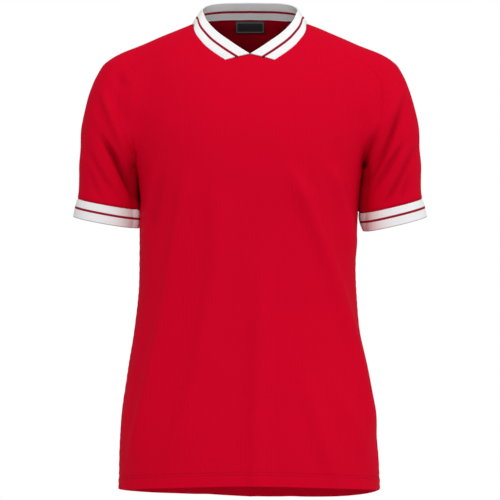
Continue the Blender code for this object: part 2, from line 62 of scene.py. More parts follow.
CLOTH = 0.0012  # wall of the knitted cloth
RIB_BAND = 0.0024  # collar and cuffs are rib knit, folded double
BAND_ROUND = 0.0009  # how far their edges are rounded
LABEL_WALL = 0.0007
HEM_DEPTH = 0.022  # cloth turned up inside the hem
RED: Colour = (0.62, 0.0006, 0.0185)
LABEL_SIZE = (0.046, 0.0175)
TURN = 2 * math.pi
SMALL = 1e-6
GRAIN = 900.0  # lumps a metre of the finest noise
INNER_SHADE = 0.55  # painted shade: the knit's inner face is darkened to this share of its colour, for the shade inside the shirt


class Way(Enum):
    """A direction along one axis."""

    @property
    def word(self) -> str:
        """Its name in the nodes."""
        return self.name.lower()


class Side(Way):
    """The wearer's sides, along X."""

    LEFT = 1
    RIGHT = -1


class Facing(Way):
    """Front and back, along Y."""

    FRONT = -1
    BACK = 1


# ---- Arrays of points
def points_of(x: Array | float, y: Array | float, z: Array | float) -> Array:
    """Points from their coordinates; a bare number holds for all of them."""
    return np.stack(np.broadcast_arrays(x, y, z), axis=-1)


def unit(vectors: Array) -> Array:
    """Vectors brought to length 1."""
    return vectors / np.maximum(np.linalg.norm(vectors, axis=-1, keepdims=True), SMALL)


def run_lengths(points: Array, axis: int) -> Array:
    """How far each point lies along one axis of a grid: the sum of the steps before it.

    Args:
        points: a line or a grid of points.
        axis: 0 to go along its columns, 1 along its rows.

    Returns:
        A length for each point.
    """
    steps = np.linalg.norm(np.diff(points, axis=axis), axis=-1)
    start = np.zeros_like(np.take(steps, [0], axis=axis))
    return np.cumsum(np.concatenate([start, steps], axis=axis), axis=axis)


def places_at(points: Array, places: Array, shares: Array) -> Array:
    """Places whose points lie at these shares of the length of a line of points."""
    lengths = run_lengths(points, 0)
    return np.interp(shares * lengths[-1], lengths, places)


def graded(count: int, *crowds: tuple[float, float, float]) -> Array:
    """Shares from 0 to 1 that stand closer together in places.

    The density is 1 + sum of gain * exp(-((share - place) / reach)^2), and the shares cut its
    running sum into equal parts.

    Args:
        count: how many steps there are from 0 to 1.
        crowds: place, reach and gain of each crowd.

    Returns:
        count + 1 rising shares.
    """
    fine = np.linspace(0, 1, 4001)
    density = np.ones_like(fine)
    for place, reach, gain in crowds:
        density -= groove(fine - place, gain, reach)
    total = np.concatenate([[0.0], np.cumsum((density[1:] + density[:-1]) / 2)])
    return np.interp(np.linspace(0, total[-1], count + 1), total, fine)


def groove(distance: Array, depth: float, reach: float) -> Array:
    """A rounded trough: -depth * exp(-(distance / reach)^2)."""
    return -depth * np.exp(-((distance / reach) ** 2))


def eased(value: Array, low: float, high: float) -> Array:
    """0 below low, 1 above high, and 3s^2 - 2s^3 of the share s between."""
    share = np.clip((value - low) / (high - low), 0, 1)
    return share * share * (3 - 2 * share)


def crowned(rise: Array, height: float) -> Array:
    """A low arch over the shares of a band's width: 4 * height * s * (1 - s)."""
    return height * 4 * rise * (1 - rise)


def mirrored(half: Array) -> Array:
    """The columns of a left half, with the same ones behind them in reverse."""
    return np.concatenate([half, half[:, -2::-1]], axis=1)


def grid_normals(points: Array) -> Array:
    """Directions square to a grid: the cross product of its steps along columns and along rows."""
    return unit(np.cross(np.gradient(points, axis=1), np.gradient(points, axis=0)))


def chart_of(points: Array, middle: int) -> Array:
    """How far each point lies along its row from the middle column, and up its column."""
    along = run_lengths(points, 1)
    return np.stack([along - along[:, middle : middle + 1], run_lengths(points, 0)], axis=-1)


@dataclass(frozen=True)
class SmoothTable:
    """Rows of numbers, read on a smooth curve through their first column."""

    rows: tuple[Row, ...]

    def read(self, at: Array | float) -> Array:
        """The other columns, one after another, where the first is `at`.

        Between two rows each is the cubic that has both rows' own slopes.

        Args:
            at: values of the first column.

        Returns:
            One array for each other column.
        """
        table = np.array(self.rows)
        keys, values = table[:, 0], table[:, 1:]
        slopes = np.gradient(values, keys, axis=0)
        at = np.clip(np.asarray(at, float), keys[0], keys[-1])
        row = np.clip(np.searchsorted(keys, at, side="right") - 1, 0, len(keys) - 2)
        step = (keys[row + 1] - keys[row])[..., None]
        part = (at - keys[row])[..., None] / step
        rise = part * part * (3 - 2 * part)
        leaving = slopes[row] * part * (1 - part) ** 2 * step
        arriving = slopes[row + 1] * part * part * (part - 1) * step
        found = values[row] * (1 - rise) + values[row + 1] * rise + leaving + arriving
        return np.moveaxis(found, -1, 0)


def metres(*numbers: float) -> Row:
    """Millimetres as metres."""
    return tuple(number / 1000 for number in numbers)


def smooth(*rows: Row, plain: int = 0) -> SmoothTable:
    """A table from rows of millimetres, but for the first `plain` numbers of each."""
    return SmoothTable(tuple(row[:plain] + metres(*row[plain:]) for row in rows))


# ---- Folds
@dataclass(frozen=True)
class Fold:
    """A soft ridge on a curve through three places, or a trough where its height is below 0."""

    x_top: float
    z_top: float
    x_mid: float
    z_mid: float
    x_low: float
    z_low: float
    spread: float
    height: float
    broad: float = 1.0  # how much wider its slope at the wearer's left is than the other
    ramp: float = 0.4  # share of its length over which each end fades out

    def over(self, points: Array) -> Array:
        """Height of the fold over points.

        It is height * exp(-off^2 / 2), where off is the distance from the curve in spreads of
        the slope on that side, and it eases to nothing towards both ends.

        Args:
            points: points of the figure.

        Returns:
            The height at each point.
        """
        fall, run = self.z_top - self.z_low, self.x_low - self.x_top
        held = np.clip((self.z_top - points[..., 2]) / fall, 0, 1)
        middle = (self.z_top - self.z_mid) / fall
        bow = (self.x_mid - self.x_top - run * middle) / (middle * (1 - middle))
        away = points[..., 0] - (self.x_top + run * held + bow * held * (1 - held))
        lean = math.hypot(run, fall) / fall
        off = away / (lean * self.spread * np.where(away > 0, self.broad, 1.0))
        ends = eased(held, 0.0, self.ramp) * eased(1 - held, 0.0, self.ramp)
        return self.height * ends * np.exp(-0.5 * off * off)


def folds(*rows: Row) -> tuple[Fold, ...]:
    """Folds from rows of their numbers, all lengths in millimetres."""
    return tuple(Fold(*metres(*row[:8]), *row[8:]) for row in rows)


@dataclass(frozen=True)
class Lie:
    """How the cloth lies on the figure: its folds, and the faint unevenness of worn knit."""

    front: tuple[Fold, ...] = folds(
        (-94, -212, -126.5, -415, -190, -700, 6.5, 7.2, 2.2, 0.14),
        (-57, -212, -64, -446, -142, -720, 9.5, 6.6, 1.6, 0.2),
        (20, -330, 11, -555, 10, -810, 9.5, 7.4, 1.2, 0.25),
        (56, -212, 130, -399, 190, -660, 8.5, 10.5, 0.9, 0.14),
        (122, -212, 146, -295, 160, -370, 7, 7.2, 1, 0.25),
        (75, -500, 103, -618, 158, -770, 9, 6, 1.3),
        (128, -545, 160, -615, 190, -700, 8, 4.5),
        (-142, -212, -152, -280, -164, -360, 7, 4.2, 1, 0.3),
        (-134, -225, -142, -272, -152, -335, 5, -2.6, 1, 0.3),
        (-172, -75, -181, -150, -170, -245, 10, 6.5, 1.8),
        (172, -75, 182, -150, 170, -245, 18, 6.5, 0.55),
        (-235, -90, -212, -152, -182, -236, 4.2, 7.6, 1.6, 0.35),
        (-238, -164, -204.5, -216, -170, -290, 3.4, -10, 1, 0.35),
        (-256, -182, -235, -226, -188, -284, 3.4, -3.6, 1, 0.4),
        (-256, -212, -242, -248, -224, -286, 3.4, -2.4),
        (-241, -124, -239, -146, -234, -168, 3, 1.4),
        (-206, -74, -199, -90, -195, -110, 5, -2.2),
        (-199, -140, -185, -192, -174, -240, 7, 3.5),
        (242, -94, 208.7, -163, 176, -242, 9.5, 6.8, 0.45, 0.35),
        (197, -158, 185, -194, 172, -240, 6, -6.6),
        (241, -108, 215, -181.5, 180, -262, 3.2, -5.6, 1, 0.4),
        (231, -180, 206.6, -218.5, 186, -262, 6.5, 3, 0.6),
        (243, -176, 217.5, -216.9, 184, -268, 3.2, -4, 1, 0.3),
        (249, -178, 223.6, -230.8, 192, -284, 6.5, 3.4, 0.6),
        (258, -184, 232.5, -238.5, 199, -294, 3.2, -4.2, 1, 0.3),
        (248, -232, 239, -257, 228, -282, 3.4, -3),
    )
    back: tuple[Fold, ...] = folds(
        (-112, -206, -134, -430, -176, -730, 8, 7.2, 1.8, 0.2),
        (-30, -230, -46, -480, -82, -860, 8.5, 6, 1.6, 0.25),
        (40, -220, 52, -470, 70, -850, 8, 6.2, 1.4, 0.25),
        (98, -198, 128, -420, 182, -740, 8, 7.8, 1.2, 0.2),
        (4, -500, 6, -640, 4, -810, 8.5, 5, 1.4),
        (-172, -75, -180, -150, -170, -245, 10, 5.5, 1.8),
        (172, -75, 180, -150, 170, -245, 18, 5.5, 0.55),
        (240, -94, 211, -160, 178, -240, 9, 6.4, 0.5, 0.35),
        (238, -128, 212, -196, 178, -276, 3.4, -8, 1, 0.4),
        (252, -168, 228, -222, 196, -286, 3.4, -4, 1, 0.3),
        (-239, -96, -214, -158, -180, -240, 4.5, 6.4, 1.9, 0.35),
        (-240, -132, -213, -192, -178, -270, 3.4, -7.6, 1, 0.4),
        (-250, -160, -230, -212, -198, -284, 3.4, -3.8, 1, 0.3),
    )
    ripples: tuple[Row, ...] = (  # waves a metre across, back and up, and where they start
        (11.0, 5.0, 3.0, 0.10),
        (-7.0, 9.0, 6.5, 0.35),
        (17.0, 7.0, -4.0, 0.60),
        (5.0, -11.0, 13.0, 0.85),
    )
    ripple_height: float = 0.00016
    turn_depth: float = 0.03  # in front of or behind the sides, from which folds are full
    hollow_depth: float = 0.012  # of a trough that gets the full painted shade

    def folded(self, points: Array, below: float = math.inf) -> Array:
        """Height over points of the folds whose own height is below a limit.

        The front's count in front of the sides, and the back's behind them.

        Args:
            points: points of the figure.
            below: only folds of less height than this count.

        Returns:
            The height at each point.
        """
        total = np.zeros(points.shape[:-1])
        for facing, rows in ((Facing.FRONT, self.front), (Facing.BACK, self.back)):
            share = np.clip(facing.value * points[..., 1] / self.turn_depth, 0, 1)
            total += share * sum(fold.over(points) for fold in rows if fold.height < below)
        return total

    def over(self, points: Array) -> Array:
        """Height of everything that raises the cloth over these points of the figure.

        Args:
            points: points of the figure.

        Returns:
            The height at each point.
        """
        table = np.array(self.ripples).T
        ripples = np.sin(TURN * (points @ table[:3] + table[3])).sum(axis=-1)
        return self.ripple_height * ripples + self.folded(points)

    def paintedshade(self, points: Array) -> Array:
        """How deep in a trough points lie, from 0 to 1: there the light hardly reaches, and the
        colour gets painted shade.
        """
        return np.clip(-self.folded(points, below=0.0) / self.hollow_depth, 0, 1)


# ---- The figure that fills the shirt
@dataclass(frozen=True)
class Figure:
    """Ovals stacked into a trunk and an arm, which run into each other above the armpit."""

    trunk: SmoothTable = smooth(  # level, half width, depth in front, depth behind, centre
        (-760, 203.8, 150, 140, -1.2),
        (-680, 202.2, 148, 137, -1.8),
        (-617, 197.7, 145, 132, -3.5),
        (-555, 188.4, 141, 127, -4.2),
        (-492, 177.5, 137, 122, -5),
        (-430, 170.6, 134, 119, -4.2),
        (-320, 169.5, 135, 121, -2.4),
        (-260, 172.2, 138, 124, -1),
        (-222, 176.8, 139, 126, 0),
        (-160, 190, 131, 126, 0),
        (-120, 196, 118, 120, 0),
        (-80, 195, 100, 109, 0),
        (-56, 185, 86.5, 98, 0),
        (-40, 170, 77.5, 90, 0),
        (-25, 144, 69.5, 81, 0),
        (-9, 110, 60.5, 72, 0),
        (0, 89, 56, 66, 0),
        (10, 77.5, 52, 61.5, 0),
        (50, 70, 48, 52, 0),
    )
    arm: SmoothTable = smooth(  # level, centre, half width, depth in front, depth behind
        (-350, 234.5, 53.5, 61, 61),
        (-320, 229, 51.2, 60, 60),
        (-290, 223.6, 49.5, 59, 60),
        (-265, 220.8, 46.5, 60, 61),
        (-240, 222.4, 44, 62, 63),
        (-222, 221.8, 45, 64, 66),
        (-195, 214.5, 50, 67, 70),
        (-165, 206.8, 56.7, 68, 71),
        (-134, 199, 58.4, 66, 70),
        (-103, 192.5, 55.8, 62, 67),
        (-80, 186, 52.2, 54, 60),
        (-60, 177, 46.5, 44, 50),
        (-45, 160, 37.5, 33, 38),
        (-30, 130, 23, 24, 28),
        (-12, 90, 12, 16, 18),
        (0, 60, 8, 10, 12),
    )
    power: float = 2.3  # 2 is an ellipse, more is squarer
    armpit: float = -0.222
    blend_reach: float = 0.030  # how widely arm and trunk run into each other
    blend_rise: float = 0.05  # height above the armpit over which they come to do so
    shade_end: Pair = (-0.115, -0.085)  # from the armpit, where their painted shade begins
    shade_rise: float = 0.03  # above the armpit, over which it ends
    slope_step: float = 2e-4
    ray_reach: float = 0.30
    ray_steps: int = 120
    ray_halvings: int = 16

    def oval_gap(self, x: Array, y: Array, half_width: Array, depth: Array) -> Array:
        """How far (x, y) lies outside an oval, measured towards its centre.

        The oval is |x / a|^p + |y / b|^p = 1, and a point at r times its size is outside by
        its own distance from the centre times 1 - 1 / r.

        Args:
            x, y: places from the oval's centre.
            half_width: the oval's size along x.
            depth: its size along y.

        Returns:
            0 on the oval, and negative inside.
        """
        size = np.abs(x / half_width) ** self.power + np.abs(y / depth) ** self.power
        ratio = np.maximum(size ** (1 / self.power), SMALL)
        return np.hypot(x, y) * (1 - 1 / ratio)

    def trunk_gap(self, points: Array) -> Array:
        """How far points lie outside the trunk.

        Args:
            points: any points.

        Returns:
            0 on the trunk, and negative inside.
        """
        x, y, z = np.moveaxis(points, -1, 0)
        half_width, front, back, centre = self.trunk.read(z)
        return self.oval_gap(x - centre, y, half_width, np.where(y < 0, front, back))

    def arm_gap(self, points: Array) -> Array:
        """How far points lie outside the arm on their own side.

        Args:
            points: any points.

        Returns:
            0 on the arm, and negative inside.
        """
        x, y, z = np.moveaxis(points, -1, 0)
        middle, half_width, front, back = self.arm.read(z)
        gap = self.oval_gap(np.abs(x) - middle, y, half_width, np.where(y < 0, front, back))
        return gap + np.maximum(z - self.arm.rows[-1][0], 0)

    def gap(self, points: Array) -> Array:
        """How far points lie outside the figure: the smaller of the two gaps, rounded between.

        Args:
            points: any points.

        Returns:
            0 on the figure, and negative inside.
        """
        trunk, arm = self.trunk_gap(points), self.arm_gap(points)
        rise = np.clip((points[..., 2] - self.armpit) / self.blend_rise, 0, 1)
        reach = np.maximum(self.blend_reach * rise, SMALL)
        near = np.maximum(reach - np.abs(trunk - arm), 0) / reach
        return np.minimum(trunk, arm) - near * near * reach / 4

    def under_arm(self, points: Array, other: Gap, reach: float) -> Array:
        """How far points lie in the shade between arm and trunk, from 0 to 1, which is painted into
        the colour.

        It is exp(-(gap / reach)^2) with the gap to the other form, from a little above the
        armpit down to the sleeve's end.

        Args:
            points: points of the figure.
            other: gap of the form across from them.
            reach: distance over which the shade fades.

        Returns:
            1 in the deepest shade.
        """
        height = points[..., 2] - self.armpit
        held = eased(height, *self.shade_end) * (1 - eased(height, 0.0, self.shade_rise))
        return -held * groove(other(points), 1.0, reach)

    def normals(self, points: Array, gap: Gap) -> Array:
        """Outward directions of a form's skin: the slope of its gap."""
        steps = np.eye(3) * self.slope_step
        return unit(np.stack([gap(points + step) - gap(points - step) for step in steps], axis=-1))

    def skin(
        self,
        origins: Array,
        directions: Array | Row,
        gap: Gap | None = None,
        fence: Array | float = math.inf,
        fence_way: int = 1,
    ) -> Array:
        """Where rays from inside a form first come out of it, or first cross a fence.

        Each ray is walked in even steps, and the step in which it comes out is then halved.

        Args:
            origins: where the rays start.
            directions: unit directions, or one for all.
            gap: the form's gap; the whole figure's if not given.
            fence: an x for each ray that also ends it.
            fence_way: 1 for a fence crossed outwards and -1 inwards.

        Returns:
            The points found, one for each ray.
        """
        gap, directions = gap or self.gap, np.asarray(directions)

        def is_outside(points: Array) -> Array:
            """Whether points are past the skin or the fence."""
            return (gap(points) > 0) | (fence_way * (np.abs(points[..., 0]) - fence) > 0)

        pace = self.ray_reach / self.ray_steps
        high = np.full(origins.shape[:-1], self.ray_reach)
        walking = np.ones(high.shape, bool)
        for step in range(1, self.ray_steps + 1):
            outside = is_outside(origins + directions * (pace * step))
            high = np.where(outside & walking, pace * step, high)
            walking &= ~outside
        low = high - pace
        for _ in range(self.ray_halvings):
            middle = (low + high) / 2
            inside = ~is_outside(origins + directions * middle[..., None])
            low, high = np.where(inside, middle, low), np.where(inside, high, middle)
        return origins + directions * high[..., None]

    def skin_at_turn(self, turn_deg: Array, level: Array) -> Array:
        """Skin in a level direction from the figure's axis: 0 is the front, 90 the left side."""
        turn = np.radians(turn_deg)
        return self.skin(points_of(0.0, 0.0, level), points_of(np.sin(turn), -np.cos(turn), 0.0))


# ---- Where the shirt is cut and sewn
@dataclass(frozen=True)
class Pattern:
    """The seams and free edges, as curves on the figure. Turns are in degrees."""

    figure: Figure = field(default_factory=Figure)
    neck: SmoothTable = smooth(  # turn, level
        (23.3, -60.4), (33.8, -49.6), (42.4, -39.4), (54.3, -22.2),
        (67.5, -6.2), (90, 0.3), (115, 6), (140, 9.5),
        (180, 11),
        plain=1,
    )
    collar_edge: SmoothTable = smooth(  # turn, and the edge's x, y and z
        (23.3, 0.6, -85.8, -50.8),
        (28.5, 15.4, -80.5, -41.4),
        (34.5, 29.6, -73.5, -31.4),
        (44, 47.6, -62, -18),
        (56, 63.8, -44, -1),
        (71, 72.2, -25.5, 15),
        (90, 74.8, -3, 23.5),
        (115, 66.5, 25, 31.5),
        (140, 48, 41.5, 35.8),
        (180, 0, 50, 37.5),
        plain=1,
    )
    hem: SmoothTable = smooth(  # turn, level
        (-180, -748), (-135, -739.5), (-90, -725), (-66, -722.2),
        (-45, -716.3), (0, -710.6), (45, -716.8), (66, -722.4),
        (90, -725), (135, -745), (180, -748),
        plain=1,
    )
    sleeve: SmoothTable = smooth(  # along, then x and z of its front, back and ridge
        (-0.1, 178.1, -320.5, 178.1, -320.5, 275.5, -300),
        (0, 174.3, -291.5, 174.3, -291.5, 269, -271.5),
        (0.09, 174.5, -262, 174.5, -262, 267.5, -247),
        (0.2, 176.8, -222, 176.8, -222, 266.5, -215),
        (0.25, 179.5, -210, 179.5, -210, 265.5, -200),
        (0.32, 187, -193, 187, -193, 264.5, -178),
        (0.4, 196, -169, 196, -169, 262, -145),
        (0.48, 201.5, -143, 201.5, -143, 256, -112),
        (0.56, 202.5, -115, 202.5, -115, 242, -80),
        (0.63, 198.5, -90, 198.5, -93, 220, -55),
        (0.69, 186, -73.5, 185, -74, 198, -43),
        (0.78, 153, -58, 148, -56, 160, -29),
        (0.89, 115, -39.5, 105, -29, 122, -14),
        (1, 81.2, -22.2, 56.5, 8.3, 88.5, 0),
        plain=1,
    )
    armpit_along: float = 0.20
    cuff_end_along: float = -0.10
    strap_turns: Pair = (54.3, 130.0)  # of the saddle strap's front and back
    peak_level: float = -0.0519  # top of the front panel, between the collar's two ends
    underarm_drop: float = 0.0028
    seam_margin: float = 0.02  # how far past its seam a panel is looked for, high up
    margin_rise: float = 0.06
    fine_points: int = 400
    depth_counts: float = 0.25  # of a seam's depth, in its length

    def neck_points(self, turns: Array) -> Array:
        """The neck seam at these turns."""
        return self.figure.skin_at_turn(turns, self.neck.read(turns)[0])

    def neck_turns(self, first: float, last: float, shares: Array) -> Array:
        """Turns at shares of the neck seam's length from one turn to another."""
        turns = np.linspace(first, last, self.fine_points)
        return places_at(self.neck_points(turns), turns, shares)

    def side_points(self, levels: Array) -> Array:
        """The side seam on the wearer's left."""
        half_width, _, _, centre = self.figure.trunk.read(levels)
        return points_of(centre + half_width, 0.0, levels)

    def seam_points(self, along: Array, facing: Facing, side: Side = Side.LEFT) -> Array:
        """A sleeve's front or back seam at places along it, mirrored to the left.

        Args:
            along: places along the sleeve.
            facing: which seam.
            side: which sleeve.

        Returns:
            One point for each place.
        """
        first = 0 if facing is Facing.FRONT else 1
        x, z = self.sleeve.read(along)[2 * first : 2 * first + 2]
        z = z - side.value * self.underarm_drop * np.clip(1 - along / self.armpit_along, 0, 1)
        origins = points_of(x, 0.0, z)
        skin = self.figure.skin(origins, (0.0, facing.value, 0.0))
        under = along < self.armpit_along + SMALL
        skin[under] = origins[under]
        skin[along > 1 - SMALL] = self.neck_points(np.array(self.strap_turns[first : first + 1]))
        return skin

    def armhole_places(self, shares: Array) -> Array:
        """Places along the sleeve at shares of the front seam's length from armpit to neck.

        Its depth counts for less, because in the armpit's fold the seam runs straight back.

        Args:
            shares: from 0 at the armpit to 1 at the neck.

        Returns:
            Places along the sleeve.
        """
        along = np.linspace(self.armpit_along, 1.0, self.fine_points)
        seam = self.seam_points(along, Facing.FRONT) * (1, self.depth_counts, 1)
        return places_at(seam, along, shares)

    def hem_level(self, across: Array, facing: Facing) -> Array:
        """Height of the hem across a panel, from -1 at the right to 1 at the left.

        Args:
            across: places across the panel.
            facing: which panel.

        Returns:
            A level for each place.
        """
        turns = across * 90
        if facing is Facing.BACK:
            turns = np.where(across < 0, -180.0, 180.0) - turns
        return self.hem.read(turns)[0]

    def margin(self, level: Array) -> Array:
        """How far a level has come from the armpit, 0, to where the full margin holds, 1."""
        return np.clip((level - self.figure.armpit) / self.margin_rise, 0, 1)


# ---- Finishes
class Nodes:
    """One material's nodes, made with short calls. Lengths are in metres."""

    def __init__(self, name: str) -> None:
        """Starts a material.

        Args:
            name: the material's name.
        """
        self.material = bpy.data.materials.new(name)
        self.material.use_nodes = True
        self.tree = self.material.node_tree
        self.shader = self.tree.nodes["Principled BSDF"]

    def set(self, **values: float | Row) -> None:
        """Sets the shader's own sockets; an underscore stands for a space in a socket's name."""
        for name, value in values.items():
            self.shader.inputs[name.replace("_", " ")].default_value = value

    def add(self, kind: str, **settings: object) -> bpy.types.Node:
        """A new node with its settings.

        Args:
            kind: the node's type, without its first word.
            settings: properties to set on it.

        Returns:
            The node.
        """
        node = self.tree.nodes.new("ShaderNode" + kind)
        for name, value in settings.items():
            setattr(node, name, value)
        return node

    def feed(self, socket: Socket, value: Socket | float | Row) -> None:
        """Links a socket, or sets it to a value.

        Args:
            socket: an input.
            value: what it gets.
        """
        if isinstance(value, bpy.types.NodeSocket):
            self.tree.links.new(value, socket)
        else:
            socket.default_value = value

    def paint(self, colour: Socket) -> None:
        """Gives the shader its colour."""
        self.feed(self.shader.inputs["Base Color"], colour)

    def math(self, operation: str, *values: Socket | float, clamp: bool = False) -> Socket:
        """The result of one sum.

        Args:
            operation: Blender's name for it.
            values: its inputs in order.
            clamp: whether it is held from 0 to 1.

        Returns:
            Its result.
        """
        node = self.add("Math", operation=operation, use_clamp=clamp)
        for socket, value in zip(node.inputs, values):
            self.feed(socket, value)
        return node.outputs[0]

    def scaled(self, value: Socket, by: float, plus: float | Socket, clamp: bool = False) -> Socket:
        """value * by + plus."""
        return self.math("MULTIPLY_ADD", value, by, plus, clamp=clamp)

    def gap(self, value: Socket, place: float) -> Socket:
        """How far a value is from a place."""
        return self.math("ABSOLUTE", self.math("SUBTRACT", value, place))

    def mixed(
        self,
        share: Socket | float,
        first: Socket | Colour,
        second: Socket | Colour,
        blend: str = "MIX",
    ) -> Socket:
        """A colour between two, or what another way of blending makes of them.

        Args:
            share: of the second colour.
            first, second: the colours.
            blend: Blender's name for the way.

        Returns:
            The colour made.
        """
        node = self.add("Mix", data_type="RGBA", blend_type=blend)
        for place, value in zip((0, 6, 7), (share, first, second)):
            self.feed(node.inputs[place], (*value, 1.0) if isinstance(value, tuple) else value)
        return node.outputs[2]

    def chart(self) -> tuple[Socket, Socket]:
        """How far along and up its own flat cloth a point lies.

        Returns:
            The two values.
        """
        split = self.add("SeparateXYZ")
        self.feed(split.inputs[0], self.add("UVMap", uv_map="Chart").outputs[0])
        return split.outputs[0], split.outputs[1]

    def mark(self, name: str) -> Socket:
        """A number that the mesh carries at its points."""
        return self.add("Attribute", attribute_name=name).outputs["Fac"]

    def wave(self, place: Socket, pitch: float) -> Socket:
        """Half of 1 + cos(2 pi place / pitch)."""
        turn = self.math("MULTIPLY", place, TURN / pitch)
        return self.scaled(self.math("COSINE", turn), 0.5, 0.5)

    def noise(self, scale: float, detail: float = 2.0) -> Socket:
        """Noise of so many lumps a metre, in the piece's own space.

        Args:
            scale: lumps a metre.
            detail: how many finer layers it has.

        Returns:
            A value from 0 to 1.
        """
        node = self.add("TexNoise")
        self.feed(node.inputs["Vector"], self.add("TexCoord").outputs["Object"])
        self.feed(node.inputs["Scale"], scale)
        self.feed(node.inputs["Detail"], detail)
        return node.outputs["Fac"]

    def relief(self, *heights: tuple[Socket, float]) -> None:
        """Bumps the surface by the sum of these heights, each times its size in metres.

        Args:
            heights: a value and its size, for each layer.
        """
        total: Socket | float = 0.0
        for height, size in heights:
            total = self.scaled(height, size, total)
        bump = self.add("Bump")
        self.feed(bump.inputs["Height"], total)
        self.feed(bump.inputs["Distance"], 1.0)
        self.feed(self.shader.inputs["Normal"], bump.outputs[0])


def dimmed(colour: Colour, share: float) -> Colour:
    """A colour with this share of its light."""
    return tuple(channel * share for channel in colour)


@dataclass(frozen=True)
class RibbedKnit:
    """Red match-shirt knit: smooth, with tonal ribs down it and fine wales between them."""

    name: str = "Red ribbed knit"
    colour: Colour = RED
    sheen_tint: Colour = (1.0, 0.005, 0.05)
    rib_pitch: float = 0.0061
    rib_tone: float = 0.972  # of a rib's groove: partly the knit's own tonal stripe, partly painted shade
    rib_relief: float = 0.00004
    painted_shade: float = 0.52  # painted shade: how much darker the colour is made in a crease, under the arm and above the cuff
    wale_pitch: float = 0.0012
    course_pitch: float = 0.0009
    knit_relief: float = 0.00003
    grain_relief: float = 0.00003
    drift_scale: float = 14.0  # lumps a metre of the slow noise in tone and roughness
    tone_drift: Pair = (0.05, 0.95)  # how far it moves the tone, and from where
    roughness: Pair = (0.16, 0.66)
    turned_colour: Colour | None = None  # where the cloth is turned up, and shows its other face

    def material(self) -> bpy.types.Material:
        """Ribs and wales follow the cloth's chart; a slow noise varies tone and roughness.

        Returns:
            The finish of the panels and sleeves.
        """
        nodes = Nodes(self.name)
        nodes.set(Sheen_Weight=0.10, Sheen_Roughness=0.45, Sheen_Tint=(*self.sheen_tint, 1.0))
        nodes.set(Specular_IOR_Level=0.025)
        along, up = nodes.chart()
        rib = nodes.math("MULTIPLY", nodes.wave(along, self.rib_pitch), nodes.mark("Ribbed"))
        # the ribs' grooves are darker, partly as the knit's tonal stripe and partly as painted
        # shade
        tone = nodes.mixed(rib, dimmed(self.colour, self.rib_tone), self.colour)
        if self.turned_colour:
            tone = nodes.mixed(nodes.mark("Turned"), tone, self.turned_colour)
        slow = nodes.noise(self.drift_scale, 3.0)
        # painted shade: the PaintedShade mark darkens the knit's colour where light hardly reaches
        deep = nodes.scaled(nodes.mark("PaintedShade"), -self.painted_shade, 1.0)
        shade = nodes.math("MULTIPLY", nodes.scaled(slow, *self.tone_drift), deep)
        nodes.paint(nodes.mixed(1.0, tone, shade, "MULTIPLY"))
        nodes.feed(nodes.shader.inputs["Roughness"], nodes.scaled(slow, *self.roughness))
        wale = nodes.wave(along, self.wale_pitch)
        course = nodes.wave(nodes.scaled(wale, self.course_pitch / 2, up), self.course_pitch)
        knit, grain = nodes.math("MULTIPLY", wale, course), nodes.noise(GRAIN)
        fine = (knit, self.knit_relief), (grain, self.grain_relief)
        nodes.relief((rib, self.rib_relief), *fine)
        return nodes.material


@dataclass(frozen=True)
class RibBandKnit:
    """White rib of the collar and cuffs, with one knitted red line."""

    name: str
    width: float
    line_place: float
    painted_edge_shade: float = 1.0  # painted shade along its free edge: the tone of the colour there
    painted_edge_share: float = 0.03  # of its width that gets this painted shade
    line_width: float = 0.0036
    line_blur: float = 0.0006
    colour: Colour = (0.86, 0.86, 0.87)
    line_colour: Colour = (0.29, 0.003, 0.016)
    rib_pitch: float = 0.0015
    course_pitch: float = 0.0011
    rib_relief: float = 0.00009
    course_relief: float = 0.00002
    grain_relief: float = 0.00003
    rib_tone: float = 0.955  # of a rib's groove: painted shade
    drift_scale: float = 30.0  # lumps a metre of the slow noise in tone and roughness
    drift_tone: float = 0.965  # where that noise is lowest
    roughness: Pair = (0.14, 0.7)
    line_waver: float = 0.00025  # how far the line's edges follow the ribs
    painted_shade: float = 0.34  # painted shade: how much darker its seam is where it curves into the shade

    def material(self) -> bpy.types.Material:
        """Up the chart is the share of the band's width; the line's edges follow the ribs.

        Returns:
            The finish of one band.
        """
        nodes = Nodes(self.name)
        nodes.set(Sheen_Weight=0.03, Sheen_Roughness=0.5, Specular_IOR_Level=0.08)
        along, up = nodes.chart()
        rib = nodes.wave(along, self.rib_pitch)
        off = nodes.math("MULTIPLY", nodes.gap(up, self.line_place), self.width)
        edge = nodes.math("SUBTRACT", nodes.scaled(rib, self.line_waver, self.line_width / 2), off)
        inked = nodes.scaled(edge, 1 / self.line_blur, 0.5, clamp=True)
        slow = nodes.noise(self.drift_scale, 3.0)
        white = nodes.mixed(slow, dimmed(self.colour, self.drift_tone), self.colour)
        # painted shade in the ribs' grooves
        white = nodes.mixed(rib, dimmed(self.colour, self.rib_tone), white)
        # painted shade along the free edge, where the rounded fold turns down
        edge_shaded = nodes.scaled(up, -1 / self.painted_edge_share, 2.0, clamp=True)
        white = nodes.mixed(edge_shaded, white, dimmed(self.colour, self.painted_edge_shade))
        # painted shade, by the PaintedShade mark, at the collar's back near its seam
        shaded = nodes.math("MULTIPLY", nodes.mark("PaintedShade"), self.painted_shade)
        white = nodes.mixed(shaded, white, (0.0, 0.0, 0.0))
        nodes.paint(nodes.mixed(inked, white, self.line_colour))
        nodes.feed(nodes.shader.inputs["Roughness"], nodes.scaled(slow, *self.roughness))
        course = nodes.wave(nodes.math("MULTIPLY", up, self.width), self.course_pitch)
        fine = (course, self.course_relief), (nodes.noise(GRAIN), self.grain_relief)
        nodes.relief((rib, self.rib_relief), *fine)
        return nodes.material


